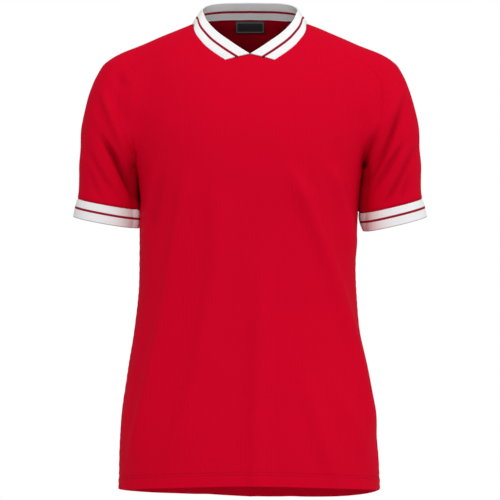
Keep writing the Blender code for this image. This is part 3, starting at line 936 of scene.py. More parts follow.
@dataclass(frozen=True)
class WovenLabel:
    """Black satin label with a thin woven frame."""

    name: str = "Black woven label"
    colour: Colour = (0.012, 0.012, 0.014)
    frame_colour: Colour = (0.30, 0.30, 0.31)
    frame_inset: float = 0.0020
    frame_width: float = 0.0006
    frame_blur: float = 0.0002
    corner_round: float = 0.002
    thread_pitch: float = 0.0005
    reliefs: tuple[float, float, float] = (0.00003, 0.00001, 0.00006)  # weft, warp and frame

    def material(self) -> bpy.types.Material:
        """The frame is where the distance to the nearest edge is near its inset.

        Returns:
            The finish of the label.
        """
        nodes = Nodes(self.name)
        nodes.set(Sheen_Weight=0.1, Specular_IOR_Level=0.45, Roughness=0.5)
        along, up = nodes.chart()
        sides, ends = (
            nodes.math("SUBTRACT", size / 2, nodes.math("ABSOLUTE", place))
            for place, size in zip((along, up), LABEL_SIZE)
        )
        off = nodes.gap(nodes.math("SMOOTH_MIN", sides, ends, self.corner_round), self.frame_inset)
        edge = nodes.math("SUBTRACT", self.frame_width / 2, off)
        framed = nodes.scaled(edge, 1 / self.frame_blur, 0.5, clamp=True)
        nodes.paint(nodes.mixed(framed, self.colour, self.frame_colour))
        weft, warp = (nodes.wave(place, self.thread_pitch) for place in (up, along))
        nodes.relief(*zip((weft, warp, framed), self.reliefs))
        return nodes.material


@dataclass(frozen=True)
class SewingThread:
    """Twisted polyester thread."""

    name: str = "Red thread"
    colour: Colour = (0.46, 0.0008, 0.014)
    twist_pitch: float = 0.0006
    ply_tone: float = 0.75  # painted shade between two plies
    ply_relief: float = 0.00004

    def material(self) -> bpy.types.Material:
        """Diagonal plies: a wave along the thread plus the way round it.

        Returns:
            The finish of every row of stitches.
        """
        nodes = Nodes(self.name)
        nodes.set(Specular_IOR_Level=0.06, Roughness=0.6)
        ply = nodes.wave(nodes.math("ADD", *nodes.chart()), self.twist_pitch)
        # painted shade between the plies
        nodes.paint(nodes.mixed(ply, dimmed(self.colour, self.ply_tone), self.colour))
        nodes.relief((ply, self.ply_relief))
        return nodes.material


Finish = RibbedKnit | RibBandKnit | WovenLabel | SewingThread
OUTER_FACE = RibbedKnit()
# the inner face in painted shade, but where the hem is turned up it shows the outer face's own red
INNER_FACE = RibbedKnit("Red ribbed knit, inner face", dimmed(RED, INNER_SHADE), turned_colour=RED)


@cache
def material_of(finish: Finish) -> bpy.types.Material:
    """A finish's material, made once."""
    return finish.material()


# ---- Cloth as a mesh
@dataclass(frozen=True)
class Cut:
    """A cloth's flat cut: the rectangle that holds it, and its own area."""

    width: float
    length: float
    area: float


def placed(name: str, data: bpy.types.ID) -> Piece:
    """A new object of the scene.

    Args:
        name: the object's name.
        data: its mesh, light or camera.

    Returns:
        The object.
    """
    made = bpy.data.objects.new(name, data)
    bpy.context.scene.collection.objects.link(made)
    return made


@dataclass
class Cloth:
    """A grid of points on a cloth's outer face, with its chart.

    The first closed_rows rows are rings, whose last point is their first. A capped cloth is a
    tube whose first and last rings are filled.
    """

    points: Array
    chart: Array
    closed_rows: int = 0
    inside_out: bool = False
    capped: bool = False
    marks: dict[str, Array] = field(default_factory=dict)

    def mesh(self, name: str) -> bpy.types.Mesh:
        """The grid as faces: one four-sided face between each two rows and two columns.

        Args:
            name: the mesh's name.

        Returns:
            The mesh, with its chart and marks.
        """
        rows, columns = self.points.shape[:2]
        numbers = np.arange(rows * columns).reshape(rows, columns)
        corners = (numbers[:-1, :-1], numbers[:-1, 1:], numbers[1:, 1:], numbers[1:, :-1])
        faces = np.stack(corners, axis=-1).reshape(-1, 4).tolist()
        if self.capped:
            faces += [numbers[0, :-1][::-1].tolist(), numbers[-1, :-1].tolist()]
        if self.inside_out:
            faces = [face[::-1] for face in faces]
        owners = np.array([corner for face in faces for corner in face])
        numbers[: self.closed_rows, -1] = numbers[: self.closed_rows, 0]
        used, ends = np.unique(numbers.ravel()[owners], return_inverse=True)
        ends = iter(ends.tolist())
        faces = [[next(ends) for _ in face] for face in faces]
        mesh = bpy.data.meshes.new(name)
        mesh.from_pydata(self.points.reshape(-1, 3)[used].tolist(), [], faces)
        chart = mesh.uv_layers.new(name="Chart")
        chart.data.foreach_set("uv", self.chart.reshape(-1, 2)[owners].ravel())
        for mark, values in self.marks.items():
            layer = mesh.attributes.new(mark, "FLOAT", "POINT")
            layer.data.foreach_set("value", values.ravel()[used].astype(np.float32))
        mesh.shade_smooth()
        return mesh

    def piece(self, name: str, finish: Finish) -> Piece:
        """The cloth as an object of the scene, riding on the shirt.

        Args:
            name: the piece's name.
            finish: what it is made of.

        Returns:
            The object.
        """
        made = placed(name, self.mesh(name))
        made.data.materials.append(material_of(finish))
        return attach(made, "root")


def walled(
    piece: Piece, wall: float, edge_round: float = 0.0, lining: Finish | None = None
) -> None:
    """Gives a sheet its wall inwards.

    Args:
        piece: the sheet.
        wall: how thick it is.
        edge_round: how far its edges are rounded, on a thick one.
        lining: the finish of its inner face, where that differs.
    """
    solidify = piece.modifiers.new("Wall", "SOLIDIFY")
    solidify.thickness = wall
    solidify.offset = -1
    if lining:
        piece.data.materials.append(material_of(lining))
        solidify.material_offset = 1
    if edge_round:
        bevel = piece.modifiers.new("Rounded edges", "BEVEL")
        bevel.width = edge_round
        bevel.segments = 3
        bevel.limit_method = "ANGLE"
        bevel.angle_limit = math.radians(50)


def doubled(piece: Piece, turned: Array) -> None:
    """Doubles a walled sheet where its cloth is turned up.

    Args:
        piece: the sheet.
        turned: whether it is turned up, for each point.
    """
    group = piece.vertex_groups.new(name="Hem")
    group.add(np.flatnonzero(turned.ravel()).tolist(), 1.0, "REPLACE")
    wall = piece.modifiers["Wall"]
    wall.vertex_group = group.name
    wall.thickness *= 2
    wall.thickness_vertex_group = 0.5


def stand_for(piece: Piece, node: str, slot: str, cut: Cut, *sewing: Piece) -> None:
    """Hides the solid that a piece stands for.

    Args:
        piece: what shows; not used.
        node: the solid it stands for.
        slot: its material slot; not used.
        cut: its flat cut; not used.
        sewing: rows of stitches that go with it; not used.
    """
    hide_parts(node)


# ---- Sewing
@dataclass(frozen=True)
class SeamLook:
    """How seams sink the cloth on each side of them, and how those at its sides pucker it."""

    depth: float = 0.0007
    reach: float = 0.0022
    neck_reach: float = 0.0016
    pucker: float = 0.00028
    pucker_pitch: float = 0.013
    pucker_drift: Pair = (2.2, 61.0)  # how far and how fast the pitch wanders
    pucker_reach: float = 0.005
    armpit_fade: float = 0.03
    saddle_levels: Pair = (-0.085, -0.045)  # over which a seam grows fainter
    saddle_loss: float = 0.8

    def relief(self, skin: Array, armpit: float) -> Array:
        """Height of a grid's cloth near its two sides and its top.

        At the sides it is a groove, and a wave along the seam times (d / r) * exp(1 - d / r),
        which is nothing on the seam itself, so that both its cloths still meet there. Both
        fade out at the armpit. At the top it is a groove.

        Args:
            skin: the grid on the bare figure.
            armpit: level of the armpit.

        Returns:
            The height at each point.
        """
        run, up = run_lengths(skin, 1), run_lengths(skin, 0)
        sides, level = np.minimum(run, run[:, -1:] - run), skin[:, :1, 2]
        near = sides / self.pucker_reach
        far, fast = self.pucker_drift
        wave = np.sin(TURN * up / self.pucker_pitch + far * np.sin(up * fast))
        swell = self.pucker * wave * near * np.exp(1 - near)
        strength = eased(np.abs(level - armpit), 0.0, self.armpit_fade)
        strength = strength * (1 - self.saddle_loss * eased(level, *self.saddle_levels))
        sunk = groove(up[-1:] - up, self.depth, self.neck_reach)
        return strength * (groove(sides, self.depth, self.reach) + swell) + sunk


@dataclass(frozen=True)
class StitchRow:
    """Thread that shows as separate stitches and dips into the cloth between them."""

    pitch: float = 0.0032
    radius: float = 0.00032
    rise: float = 0.00012
    sink: float = 0.0008
    around: int = 6
    per_stitch: int = 8

    def cloth(self, line: Array, normals: Array) -> Cloth:
        """A thin tube along a line on the cloth.

        Its middle stands off the line by rise * s - sink * (1 - s), with s = |sin(pi t)|^0.5
        where t counts the stitches.

        Args:
            line: points along the sewing.
            normals: the cloth's outward directions there.

        Returns:
            A capped tube.
        """
        lengths = run_lengths(line, 0)
        stitches = round(lengths[-1] / self.pitch)
        count = np.linspace(0, stitches, stitches * self.per_stitch + 1)
        at = count / stitches * lengths[-1]
        middle = points_of(*(np.interp(at, lengths, axis) for axis in line.T))
        upward = unit(points_of(*(np.interp(at, lengths, axis) for axis in normals.T)))
        shown = np.sqrt(np.abs(np.sin(math.pi * count)))
        middle = middle + upward * (self.rise * shown - self.sink * (1 - shown))[:, None]
        sideways = unit(np.cross(np.gradient(middle, axis=0), upward))
        turn = np.linspace(0, TURN, self.around + 1)[:, None]
        ring = np.cos(turn) * upward[:, None] + np.sin(turn) * sideways[:, None]
        points = middle[:, None] + self.radius * ring
        chart = np.stack(np.broadcast_arrays(at[:, None], turn.T * self.radius), axis=-1)
        return Cloth(points, chart, len(points), capped=True)

    def dress(self, name: str, line: Array, normals: Array) -> Piece:
        """The row in red thread.

        Args:
            name: the piece's name.
            line: points along the sewing.
            normals: the cloth's outward directions there.

        Returns:
            The piece.
        """
        piece = self.cloth(line, normals).piece(name, SewingThread())
        return piece


def line_above_hem(cloth: Cloth, height: float) -> tuple[Array, Array]:
    """The line on a cloth at a height above its first row, and the cloth's directions there.

    Args:
        cloth: the panel.
        height: along the cloth from its first row.

    Returns:
        Points of the line, and unit directions.
    """
    points, up = cloth.points, run_lengths(cloth.points, 0)
    row, column = np.argmax(up >= height, axis=0), np.arange(up.shape[1])
    low, high = up[row - 1, column], up[row, column]
    part = ((height - low) / (high - low))[:, None]
    line = points[row - 1, column] * (1 - part) + points[row, column] * part
    outward = -1 if cloth.inside_out else 1
    return line, outward * grid_normals(points)[row, column]


# ---- Front and back
SEAM_SHARES = graded(108, (0.0, 0.035, 8), (1.0, 0.02, 4))


@dataclass(frozen=True)
class TrunkPanel:
    """The front or the back: a grid from hem to neck and from the wearer's right to left."""

    pattern: Pattern
    lie: Lie
    facing: Facing
    cut: Cut
    seam: SeamLook = SeamLook()
    rows_below: int = 112
    armpit_share: float = 16 / 31  # of the way from hem to neck
    peak_share: float = 4 / 14  # of the front's half width, from its peak to the collar's corner
    fan_start: float = 0.6
    fan_power: float = 1.3
    edge_power: float = 3.0  # how closely the swing to a seam that runs back keeps to the edge
    stitch_lines: Pair = (0.0172, 0.0209)  # above the hem's edge
    stitch_depth: float = 0.0005
    stitch_reach: float = 0.0011
    hem_lift: float = 0.0004  # how far the doubled cloth stands proud
    crimp: float = 0.00022  # of the hem between its edge and its sewing
    crimp_pitch: float = 0.017
    crimp_drift: Pair = (3.0, 23.0)
    crimp_place: Pair = (0.014, 0.012)  # its level and its reach
    near_reach: float = 0.005  # to the arm, over which the side gets painted shade

    def across(self) -> Array:
        """Places across the panel, closer together at its two sewn edges.

        Returns:
            Places from -1 at the wearer's right to 1 at the left.
        """
        if self.facing is Facing.FRONT:
            peak = graded(20, (1.0, 0.1, 1.5)) * self.peak_share
            rest = graded(56, (1.0, 0.02, 5), (0.0, 0.02, 2)) * (1 - self.peak_share)
            half = np.concatenate([peak, self.peak_share + rest[1:]])
        else:
            half = graded(74, (1.0, 0.014, 5))
        return np.concatenate([-half[:0:-1], half])

    def neck_edge(self, across: Array) -> Array:
        """The panel's top edge: along the neck seam, and on the front up to its peak.

        Args:
            across: places across the panel.

        Returns:
            One point for each place.
        """
        share, mirror, pattern = np.abs(across), points_of(np.sign(across), 1, 1), self.pattern
        if self.facing is Facing.BACK:
            turns = pattern.neck_turns(180.0, pattern.strap_turns[1], share)
            return pattern.neck_points(turns) * mirror
        corner, corner_level = pattern.neck.rows[0]
        beyond = np.clip((share - self.peak_share) / (1 - self.peak_share), 0, 1)
        turns = pattern.neck_turns(corner, pattern.strap_turns[0], beyond)
        in_peak, part = share < self.peak_share, share / self.peak_share
        drop = pattern.peak_level + (corner_level - pattern.peak_level) * part
        level = np.where(in_peak, drop, pattern.neck.read(turns)[0])
        return pattern.figure.skin_at_turn(np.where(in_peak, corner * part, turns), level) * mirror

    def side_levels(self) -> Array:
        """Heights of the side seam's points, closer together at the hem's edge and sewing.

        Returns:
            Levels from hem to armpit.
        """
        hem = self.pattern.hem.read(90.0)[0]
        length = self.pattern.figure.armpit - hem
        sewing = sum(self.stitch_lines) / 2 / length
        return hem + length * graded(self.rows_below, (0.0, 0.004, 4), (sewing, 0.011, 7))

    def skin(self) -> Array:
        """The panel's grid on the bare figure.

        Rays fan out from the shirt's middle plane. Their places and levels run from those of
        the hem to those of the neck, and the sewn edges are then set on their seams.

        Returns:
            Points in rows from hem to neck, and columns from right to left.
        """
        pattern, figure = self.pattern, self.pattern.figure
        levels, across = self.side_levels(), self.across()
        seam = pattern.seam_points(pattern.armhole_places(SEAM_SHARES[1:]), self.facing)
        edge, top = np.concatenate([pattern.side_points(levels), seam]), self.neck_edge(across)
        x, y, z = edge.T
        stages = (z[0], figure.armpit, z[-1])
        share = np.interp(z, stages, (0, self.armpit_share, 1))[:, None]
        level = (1 - share) * pattern.hem_level(across, self.facing) + share * top[:, 2]
        level = level + z[:, None] - level[:, -1:]
        place = (1 - share**2) * across + share**2 * top[:, 0] / top[-1, 0]
        rise = pattern.margin(z)
        start = (self.fan_start + (1 - self.fan_start) * rise) * x
        swing, even = np.arctan2(x - start, np.abs(y)), math.pi / 2 * (1 - rise)
        out = np.abs(place)
        angle = even[:, None] * out**self.fan_power
        angle = (angle + (swing - even)[:, None] * out**self.edge_power) * np.sign(place)
        origins = points_of(place * start[:, None], 0.0, level)
        rays = points_of(np.sin(angle), self.facing.value * np.cos(angle), 0.0)
        skin = np.empty_like(origins)
        sewn, side = slice(len(levels), None), slice(len(levels))
        skin[side] = figure.skin(origins[side], rays[side], figure.trunk_gap)
        fence = (x + pattern.seam_margin * rise)[sewn, None]
        skin[sewn] = figure.skin(origins[sewn], rays[sewn], fence=fence)
        skin[:, -1] = edge
        skin[:, 0] = edge * (-1, 1, 1) + points_of(2 * figure.trunk.read(z)[3], 0.0, 0.0)
        skin[-1] = top
        return skin

    def relief(self, skin: Array) -> Array:
        """How far the cloth stands off the figure: folds, seams, and the hem with its sewing.

        Args:
            skin: the grid on the bare figure.

        Returns:
            The height at each point.
        """
        along, up = run_lengths(skin, 1), run_lengths(skin, 0)
        raised = self.lie.over(skin) + self.seam.relief(skin, self.pattern.figure.armpit)
        raised += self.hem_lift * (1 - eased(up, *self.stitch_lines))
        for line in self.stitch_lines:
            raised += groove(up - line, self.stitch_depth, self.stitch_reach)
        (far, fast), (level, reach) = self.crimp_drift, self.crimp_place
        crimp = np.sin(TURN * along / self.crimp_pitch + far * np.sin(along * fast))
        return raised - crimp * groove(up - level, self.crimp, reach)

    def cloth(self) -> Cloth:
        """The panel with its folds, sewing and chart.

        Returns:
            Rows from hem to neck, and columns from right to left.
        """
        skin, figure = self.skin(), self.pattern.figure
        normals = figure.normals(skin, figure.gap)
        below = skin[:, -1, 2] <= figure.armpit + SMALL
        normals[below] = figure.normals(skin[below], figure.trunk_gap)
        points = skin + normals * self.relief(skin)[..., None]
        near = figure.under_arm(skin, figure.arm_gap, self.near_reach)
        chart = chart_of(points, points.shape[1] // 2)
        marks = {"Ribbed": np.ones(points.shape[:2]), "Turned": chart[..., 1] < HEM_DEPTH}
        # painted shade: darker colour in the troughs of folds and on the side under the arm
        marks["PaintedShade"] = np.maximum(self.lie.paintedshade(skin), near)
        return Cloth(points, chart, inside_out=self.facing is Facing.BACK, marks=marks)

    def dress(self) -> list[Piece]:
        """The panel in red knit, with its double hem and the rows of sewing above its edge.

        Returns:
            The panel, and its rows of stitches.
        """
        cloth, word = self.cloth(), self.facing.word
        piece = cloth.piece(f"cloth_{word}", OUTER_FACE)
        walled(piece, CLOTH, lining=INNER_FACE)
        doubled(piece, cloth.marks["Turned"])
        rows = [
            StitchRow().dress(f"hem_stitches_{word}_{number}", *line_above_hem(cloth, height))
            for number, height in enumerate(self.stitch_lines, 1)
        ]
        stand_for(piece, word, "red_knit", self.cut, *rows)
        return [piece, *rows]


# ---- Sleeves and cuffs
@dataclass(frozen=True)
class ArmTube:
    """Rings and strips about one arm, from the cuff's end to the neck."""

    pattern: Pattern
    lie: Lie
    side: Side
    seam: SeamLook = SeamLook()
    cuff_seam: Pair = (0.0008, 0.0018)  # depth and reach of its groove
    rest_reach: Pair = (0.0035, 0.0140)
    rest_rise: float = 0.006  # below the armpit, over which it comes to rest on the body
    near_reach: float = 0.014  # to the body, over which the sleeve gets painted shade
    cuff_dip_deg: float = 3.5
    strap_along: float = 0.75
    settle_along: float = 0.26  # above the armpit, over which all rays come to turn alike
    edge_power: float = 6.0
    around: int = 172

    @property
    def mirror(self) -> Row:
        """What brings the left sleeve's points to this side."""
        return (self.side.value, 1, 1)

    def frames(self, along: Array, front: Array, back: Array) -> tuple[Array, Array, Array]:
        """Middle of each ring or strip, and its forward and upward directions.

        Args:
            along: places along the sleeve.
            front, back: points of its two seams there.

        Returns:
            Three arrays, with a point or a unit direction for each place.
        """
        armpit = self.pattern.armpit_along
        x, z = self.pattern.sleeve.read(along)[4:]
        ridge, base = points_of(x, 0.0, z), (front + back) / 2
        strap = np.clip((along - armpit) / (self.strap_along - armpit), 0, 1)
        centre = base + (ridge - base) * 0.5 * (1 - strap[:, None])
        dip = np.radians(self.cuff_dip_deg) * np.clip(1 - along / armpit, 0, 1)
        level_forward = points_of(0.0, -np.cos(dip), -np.sin(dip))
        forward = unit(np.where((along > armpit)[:, None], front - back, level_forward))
        upward = ridge - centre
        upward = unit(upward - forward * (upward * forward).sum(axis=1, keepdims=True))
        return centre, forward, upward

    def rest(self, skin: Array) -> Array:
        """How far the arm's inner side swells to lie against the body.

        It fills the gap to the trunk, less and less where the gap is wide.

        Args:
            skin: the grid on the bare figure.

        Returns:
            The height at each point.
        """
        figure = self.pattern.figure
        gap = figure.trunk_gap(skin)
        below = eased(figure.armpit - skin[..., 2], 0.0, self.rest_rise)
        return np.maximum(gap, 0) * (1 - eased(gap, *self.rest_reach)) * below

    def skin(self, along: Array, shares: Array) -> Array:
        """Grid about the arm, mirrored to the left: columns from the front seam to the back.

        Rays sweep about each ring's middle, from the front seam over the ridge to the back
        seam, and all the way round below the armpit. Just above it, where the seams run
        straight forward and back, only the rays near them turn with them.

        Args:
            along: places along the sleeve, one for each row.
            shares: of the way round, one for each column.

        Returns:
            The grid's points.
        """
        pattern, figure = self.pattern, self.pattern.figure
        front, back = (pattern.seam_points(along, facing, self.side) for facing in Facing)
        centre, forward, upward = self.frames(along, front, back)
        sewn = along > pattern.armpit_along

        def angle(points: Array) -> Array:
            """Angle about the middle, from forward towards upward."""
            off = points - centre
            return np.arctan2((off * upward).sum(axis=1), (off * forward).sum(axis=1))

        first = angle(front)
        last = np.where(sewn, np.mod(angle(back), TURN), first + TURN)
        uneven = sewn * (1 - eased(along - pattern.armpit_along, 0.0, self.settle_along))
        even_first = first + (-TURN / 4 - first) * uneven
        even_last = last + (TURN * 3 / 4 - last) * uneven
        sweep = even_first[:, None] + (even_last - even_first)[:, None] * shares
        sweep += (first - even_first)[:, None] * (1 - shares) ** self.edge_power
        sweep += (last - even_last)[:, None] * shares**self.edge_power
        sweep = sweep[..., None]
        rays = np.cos(sweep) * forward[:, None] + np.sin(sweep) * upward[:, None]
        origins = np.broadcast_to(centre[:, None], rays.shape)
        skin = np.empty_like(rays)
        skin[~sewn] = figure.skin(origins[~sewn], rays[~sewn], figure.arm_gap)
        fence = (front + back)[:, 0] / 2 - pattern.seam_margin * pattern.margin(centre[:, 2])
        fence = fence[sewn, None]
        skin[sewn] = figure.skin(origins[sewn], rays[sewn], fence=fence, fence_way=-1)
        skin[:, 0], skin[:, -1] = front, back
        return skin


@dataclass(frozen=True)
class Sleeve(ArmTube):
    """A saddle sleeve, from its cuff seam to the neck."""

    cut: Cut = Cut(0.34, 0.36, 0.077)
    rows_below: int = 34
    ribbed: float = 0.4  # its ribs are fainter than the body's
    plain_along: Pair = (0.42, 0.72)  # over which they fade out
    cuff_shade: float = 0.6  # painted shadow on the sleeve just above the cuff's edge: how much darker it is
    cuff_shade_reach: float = 0.0036

    def cloth(self) -> Cloth:
        """The sleeve with its folds, sewing and chart.

        Returns:
            Rows from cuff to neck, of which those below the armpit are rings.
        """
        pattern, figure = self.pattern, self.pattern.figure
        below = graded(self.rows_below, (0.0, 0.03, 3)) * pattern.armpit_along
        along = np.concatenate([below, pattern.armhole_places(SEAM_SHARES[1:])])
        shares = graded(self.around, (0.0, 0.008, 4), (1.0, 0.008, 4))
        skin = self.skin(along, shares)
        skin[-1] = pattern.neck_points(pattern.neck_turns(*pattern.strap_turns, shares))
        skin = skin * self.mirror
        up, rings = run_lengths(skin, 0), along <= pattern.armpit_along + SMALL
        normals = figure.normals(skin, figure.gap)
        normals[rings] = figure.normals(skin[rings], figure.arm_gap)
        relief = self.lie.over(skin) + self.seam.relief(skin, figure.armpit)
        relief += self.rest(skin) + groove(up, *self.cuff_seam)
        points = skin + normals * relief[..., None]
        plain = eased(along, *self.plain_along)[:, None]
        ribbed = np.broadcast_to(self.ribbed * (1 - plain), up.shape)
        # painted shade: darker colour in troughs, just above the cuff and on the inner side against
        # the body
        shades = [self.lie.paintedshade(skin), -groove(up, self.cuff_shade, self.cuff_shade_reach)]
        shades.append(figure.under_arm(skin, figure.trunk_gap, self.near_reach))
        marks = {"Ribbed": ribbed, "Turned": np.zeros(up.shape), "PaintedShade": np.max(shades, axis=0)}
        chart = chart_of(points, self.around // 2)
        return Cloth(points, chart, int(rings.sum()), self.side is Side.RIGHT, marks=marks)

    def dress(self) -> list[Piece]:
        """The sleeve in red knit.

        Returns:
            The one piece.
        """
        piece = self.cloth().piece(f"cloth_sleeve_{self.side.word}", OUTER_FACE)
        walled(piece, CLOTH, lining=INNER_FACE)
        stand_for(piece, f"sleeve_{self.side.word}", "red_knit", self.cut)
        return [piece]


@dataclass(frozen=True)
class Cuff(ArmTube):
    """A rib cuff, folded double, from its free end to the sleeve."""

    cut: Cut = Cut(0.36, 0.031, 0.011)
    rows: int = 18
    crown: float = 0.0006  # how far its middle stands out
    width: float = 0.030
    line_place: float = 0.53  # of its red line, as a share of its width
    # painted shade along the cuff's lower edge
    painted_edge_shade: float = 0.5

    def cloth(self) -> Cloth:
        """The cuff's outer face: rounded over its height, and sunk where it is sewn.

        Returns:
            Rings from the free end to the sleeve.
        """
        figure = self.pattern.figure
        rise = graded(self.rows, (0.0, 0.05, 2), (1.0, 0.05, 2))
        along = self.pattern.cuff_end_along * (1 - rise)
        skin = self.skin(along, np.linspace(0, 1, self.around + 1)) * self.mirror
        up = run_lengths(skin, 0)
        relief = self.lie.over(skin) + self.rest(skin) + crowned(rise, self.crown)[:, None]
        relief += groove(up[-1:] - up, *self.cuff_seam)
        points = skin + figure.normals(skin, figure.arm_gap) * relief[..., None]
        chart = chart_of(points, self.around // 2)
        chart[..., 1] = rise[:, None]
        return Cloth(points, chart, len(points), self.side is Side.RIGHT)

    def dress(self) -> list[Piece]:
        """The cuff in white rib.

        Returns:
            The one piece.
        """
        name = f"White rib, {self.side.word} cuff"
        finish = RibBandKnit(name, self.width, self.line_place, self.painted_edge_shade)
        band = self.cloth().piece(f"band_cuff_{self.side.word}", finish)
        walled(band, RIB_BAND, BAND_ROUND)
        stand_for(band, f"cuff_{self.side.word}", "white_rib", self.cut)
        return [band]


# ---- Collar and label
@dataclass(frozen=True)
class Collar:
    """The V-neck band, folded double: from the neck seam to its free edge."""

    pattern: Pattern
    cut: Cut = Cut(0.52, 0.030, 0.0145)
    half_columns: int = 110
    rows: int = 18
    crown: float = 0.0008
    width: float = 0.028
    line_place: float = 0.465  # of its red line, as a share of its width
    seam: Pair = (0.0006, 0.0018)  # depth and reach of its groove
    shaded_turns: Pair = (80.0, 130.0)  # over which its painted shade near the seam grows, from its side to its back

    def cloth(self) -> Cloth:
        """The band's outer face, straight between seam and edge but for its crown.

        Returns:
            Rows from seam to edge, and columns from the right end to the left.
        """
        pattern = self.pattern
        shares = graded(self.half_columns, (0.0, 0.01, 2))
        turns = pattern.neck_turns(pattern.neck.rows[0][0], 180.0, shares)
        seam, edge = pattern.neck_points(turns), points_of(*pattern.collar_edge.read(turns))
        rise = graded(self.rows, (0.0, 0.05, 2), (1.0, 0.05, 2))
        flat = mirrored(seam + (edge - seam) * rise[:, None, None])
        flat[:, : self.half_columns, 0] *= -1
        raised = crowned(rise, self.crown) + groove(rise * self.width, *self.seam)
        points = flat - grid_normals(flat) * raised[:, None, None]
        chart = chart_of(points, self.half_columns)
        chart[..., 1] = rise[:, None]
        # painted shade: darker towards the seam at the collar's back
        behind = mirrored((1 - rise[:, None]) * eased(turns, *self.shaded_turns))
        return Cloth(points, chart, inside_out=True, marks={"PaintedShade": behind})

    def dress(self) -> list[Piece]:
        """The band in white rib.

        Returns:
            The one piece.
        """
        finish = RibBandKnit("White rib, collar", self.width, self.line_place)
        band = self.cloth().piece("band_collar", finish)
        walled(band, RIB_BAND, BAND_ROUND)
        stand_for(band, "collar", "white_rib", self.cut)
        return [band]


@dataclass(frozen=True)
class NeckLabel:
    """The woven label, sewn inside the back under the collar."""

    pattern: Pattern
    cut: Cut = Cut(*LABEL_SIZE, 0.0008)
    drop: float = 0.0022
    stand_off: float = CLOTH + 0.0005
    curl: float = 0.0006  # how far its lower edge comes away
    columns: int = 40
    rows: int = 18

    def cloth(self) -> Cloth:
        """The label's face against the back panel, which it follows.

        Returns:
            Rows from the lower edge to the upper.
        """
        figure, (width, height) = self.pattern.figure, LABEL_SIZE
        top = self.pattern.neck.rows[-1][1] - self.drop
        across = np.linspace(-width / 2, width / 2, self.columns + 1)
        x, z = np.meshgrid(across, np.linspace(top - height, top, self.rows + 1))
        skin = figure.skin(points_of(x, 0.0, z), (0.0, 1.0, 0.0))
        off = self.stand_off + self.curl * ((top - z) / height) ** 2
        points = skin - figure.normals(skin, figure.gap) * off[..., None]
        return Cloth(points, np.stack([x, z - (top - height / 2)], axis=-1), inside_out=True)

    def dress(self) -> list[Piece]:
        """The label in black satin.

        Returns:
            The one piece.
        """
        piece = self.cloth().piece("woven_neck_label", WovenLabel())
        walled(piece, LABEL_WALL)
        stand_for(piece, "neck_label", "black_label", self.cut)
        return [piece]


# ---- Studio
@dataclass(frozen=True)
class SoftBox:
    """A square soft light that looks at a place on the shirt."""

    name: str
    place: tuple[float, float, float]
    power: float
    width: float = 1.8
    target: tuple[float, float, float] = (0.0, 0.0, -0.33)

    def hang(self) -> None:
        """Puts the light up."""
        light = bpy.data.lights.new(self.name, "AREA")
        light.size, light.energy = self.width, self.power
        made = placed(self.name, light)
        made.location = self.place
        way = Vector(self.target) - Vector(self.place)
        made.rotation_euler = way.to_track_quat("-Z", "Y").to_euler()


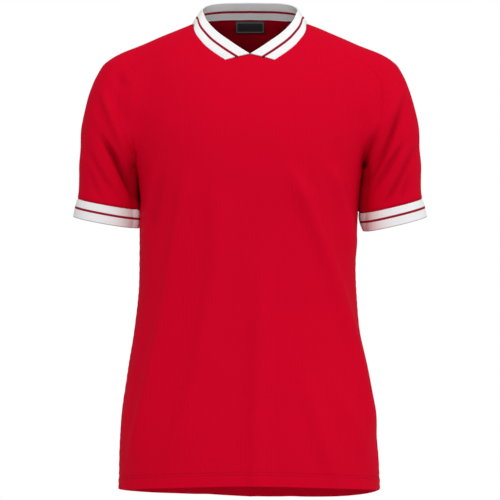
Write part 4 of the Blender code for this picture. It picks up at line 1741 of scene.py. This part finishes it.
@dataclass(frozen=True)
class Studio:
    """Camera, pale floor, white surroundings and soft boxes."""

    distance: float = 5.0
    seen_width: float = 0.780  # at the shirt's middle
    sensor_width: float = 36.0  # in millimetres
    eye_level: float = -0.35256
    floor_level: float = -1.1
    floor_radius: float = 4.0
    floor_sides: int = 96
    floor_tones: Pair = (0.80, 0.84)
    surroundings: float = 0.42
    boxes: tuple[SoftBox, ...] = (
        SoftBox("Side, right", (3.4, -0.3, -0.3), 15.5),
        SoftBox("Side high, right", (3.0, -1.2, 1.6), 25.0),
        SoftBox("Front high", (0.0, -3.6, 2.2), 26.0),
        SoftBox("Front low", (0.0, -4.0, -0.5), 22.0),
        SoftBox("Fill, left", (-2.6, -2.8, 0.9), 20.0),
        SoftBox("Top", (0.0, -0.6, 3.0), 40.0),
    )

    def camera(self) -> None:
        """A long lens, level and square to the front."""
        lens = bpy.data.cameras.new("Camera")
        lens.sensor_width = self.sensor_width
        lens.lens = self.sensor_width * self.distance / self.seen_width
        made = placed("Camera", lens)
        made.location = (0.0, -self.distance, self.eye_level)
        made.rotation_euler = (math.pi / 2, 0.0, 0.0)
        bpy.context.scene.camera = made

    def floor(self) -> None:
        """A round matt floor: one flat face."""
        turn = np.linspace(0, TURN, self.floor_sides, endpoint=False)
        x, y = self.floor_radius * np.cos(turn), self.floor_radius * np.sin(turn)
        mesh = bpy.data.meshes.new("Floor")
        rim = points_of(x, y, self.floor_level).tolist()
        mesh.from_pydata(rim, [], [list(range(self.floor_sides))])
        made, nodes = placed("Floor", mesh), Nodes("Pale floor")
        dark, light = ((tone,) * 3 for tone in self.floor_tones)
        nodes.paint(nodes.mixed(nodes.noise(2.0), dark, light))
        nodes.set(Roughness=0.9)
        made.data.materials.append(nodes.material)

    def surround(self) -> None:
        """White around everything: full where it is seen itself, softer as light on the cloth."""
        world = bpy.data.worlds.new("White surroundings")
        world.use_nodes = True
        tree = world.node_tree
        background = tree.nodes["Background"]
        background.inputs["Color"].default_value = (1.0, 1.0, 1.0, 1.0)
        seen = tree.nodes.new("ShaderNodeLightPath").outputs["Is Camera Ray"]
        strength = tree.nodes.new("ShaderNodeMapRange")
        strength.inputs["To Min"].default_value = self.surroundings
        strength.inputs["To Max"].default_value = 1.0
        tree.links.new(seen, strength.inputs["Value"])
        tree.links.new(strength.outputs[0], background.inputs["Strength"])
        bpy.context.scene.world = world

    def set_up(self) -> None:
        """Everything about the shirt."""
        bpy.context.scene.view_settings.view_transform = "Standard"
        self.camera()
        self.floor()
        self.surround()
        for box in self.boxes:
            box.hang()


# ---- The jersey
def parts() -> list[TrunkPanel | Sleeve | Cuff | Collar | NeckLabel]:
    """The jersey's parts, in the order in which they are made.

    Returns:
        Front, back, both arms, collar and label.
    """
    pattern, lie = Pattern(), Lie()
    made = [
        TrunkPanel(pattern, lie, Facing.FRONT, Cut(0.57, 0.70, 0.338)),
        TrunkPanel(pattern, lie, Facing.BACK, Cut(0.57, 0.77, 0.350)),
    ]
    for side in Side:
        made += [Sleeve(pattern, lie, side), Cuff(pattern, lie, side)]
    return made + [Collar(pattern), NeckLabel(pattern)]


def main() -> None:
    """Builds the studio and the jersey, reports each piece, and notes how large the result is."""
    logging.basicConfig(level=logging.INFO, format="%(name)s: %(message)s")
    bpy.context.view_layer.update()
    Studio().set_up()
    for part in parts():
        for piece in part.dress():
            log.info("%s: %d faces", piece.name, len(piece.data.polygons))


if __name__ == "__main__":
    main()
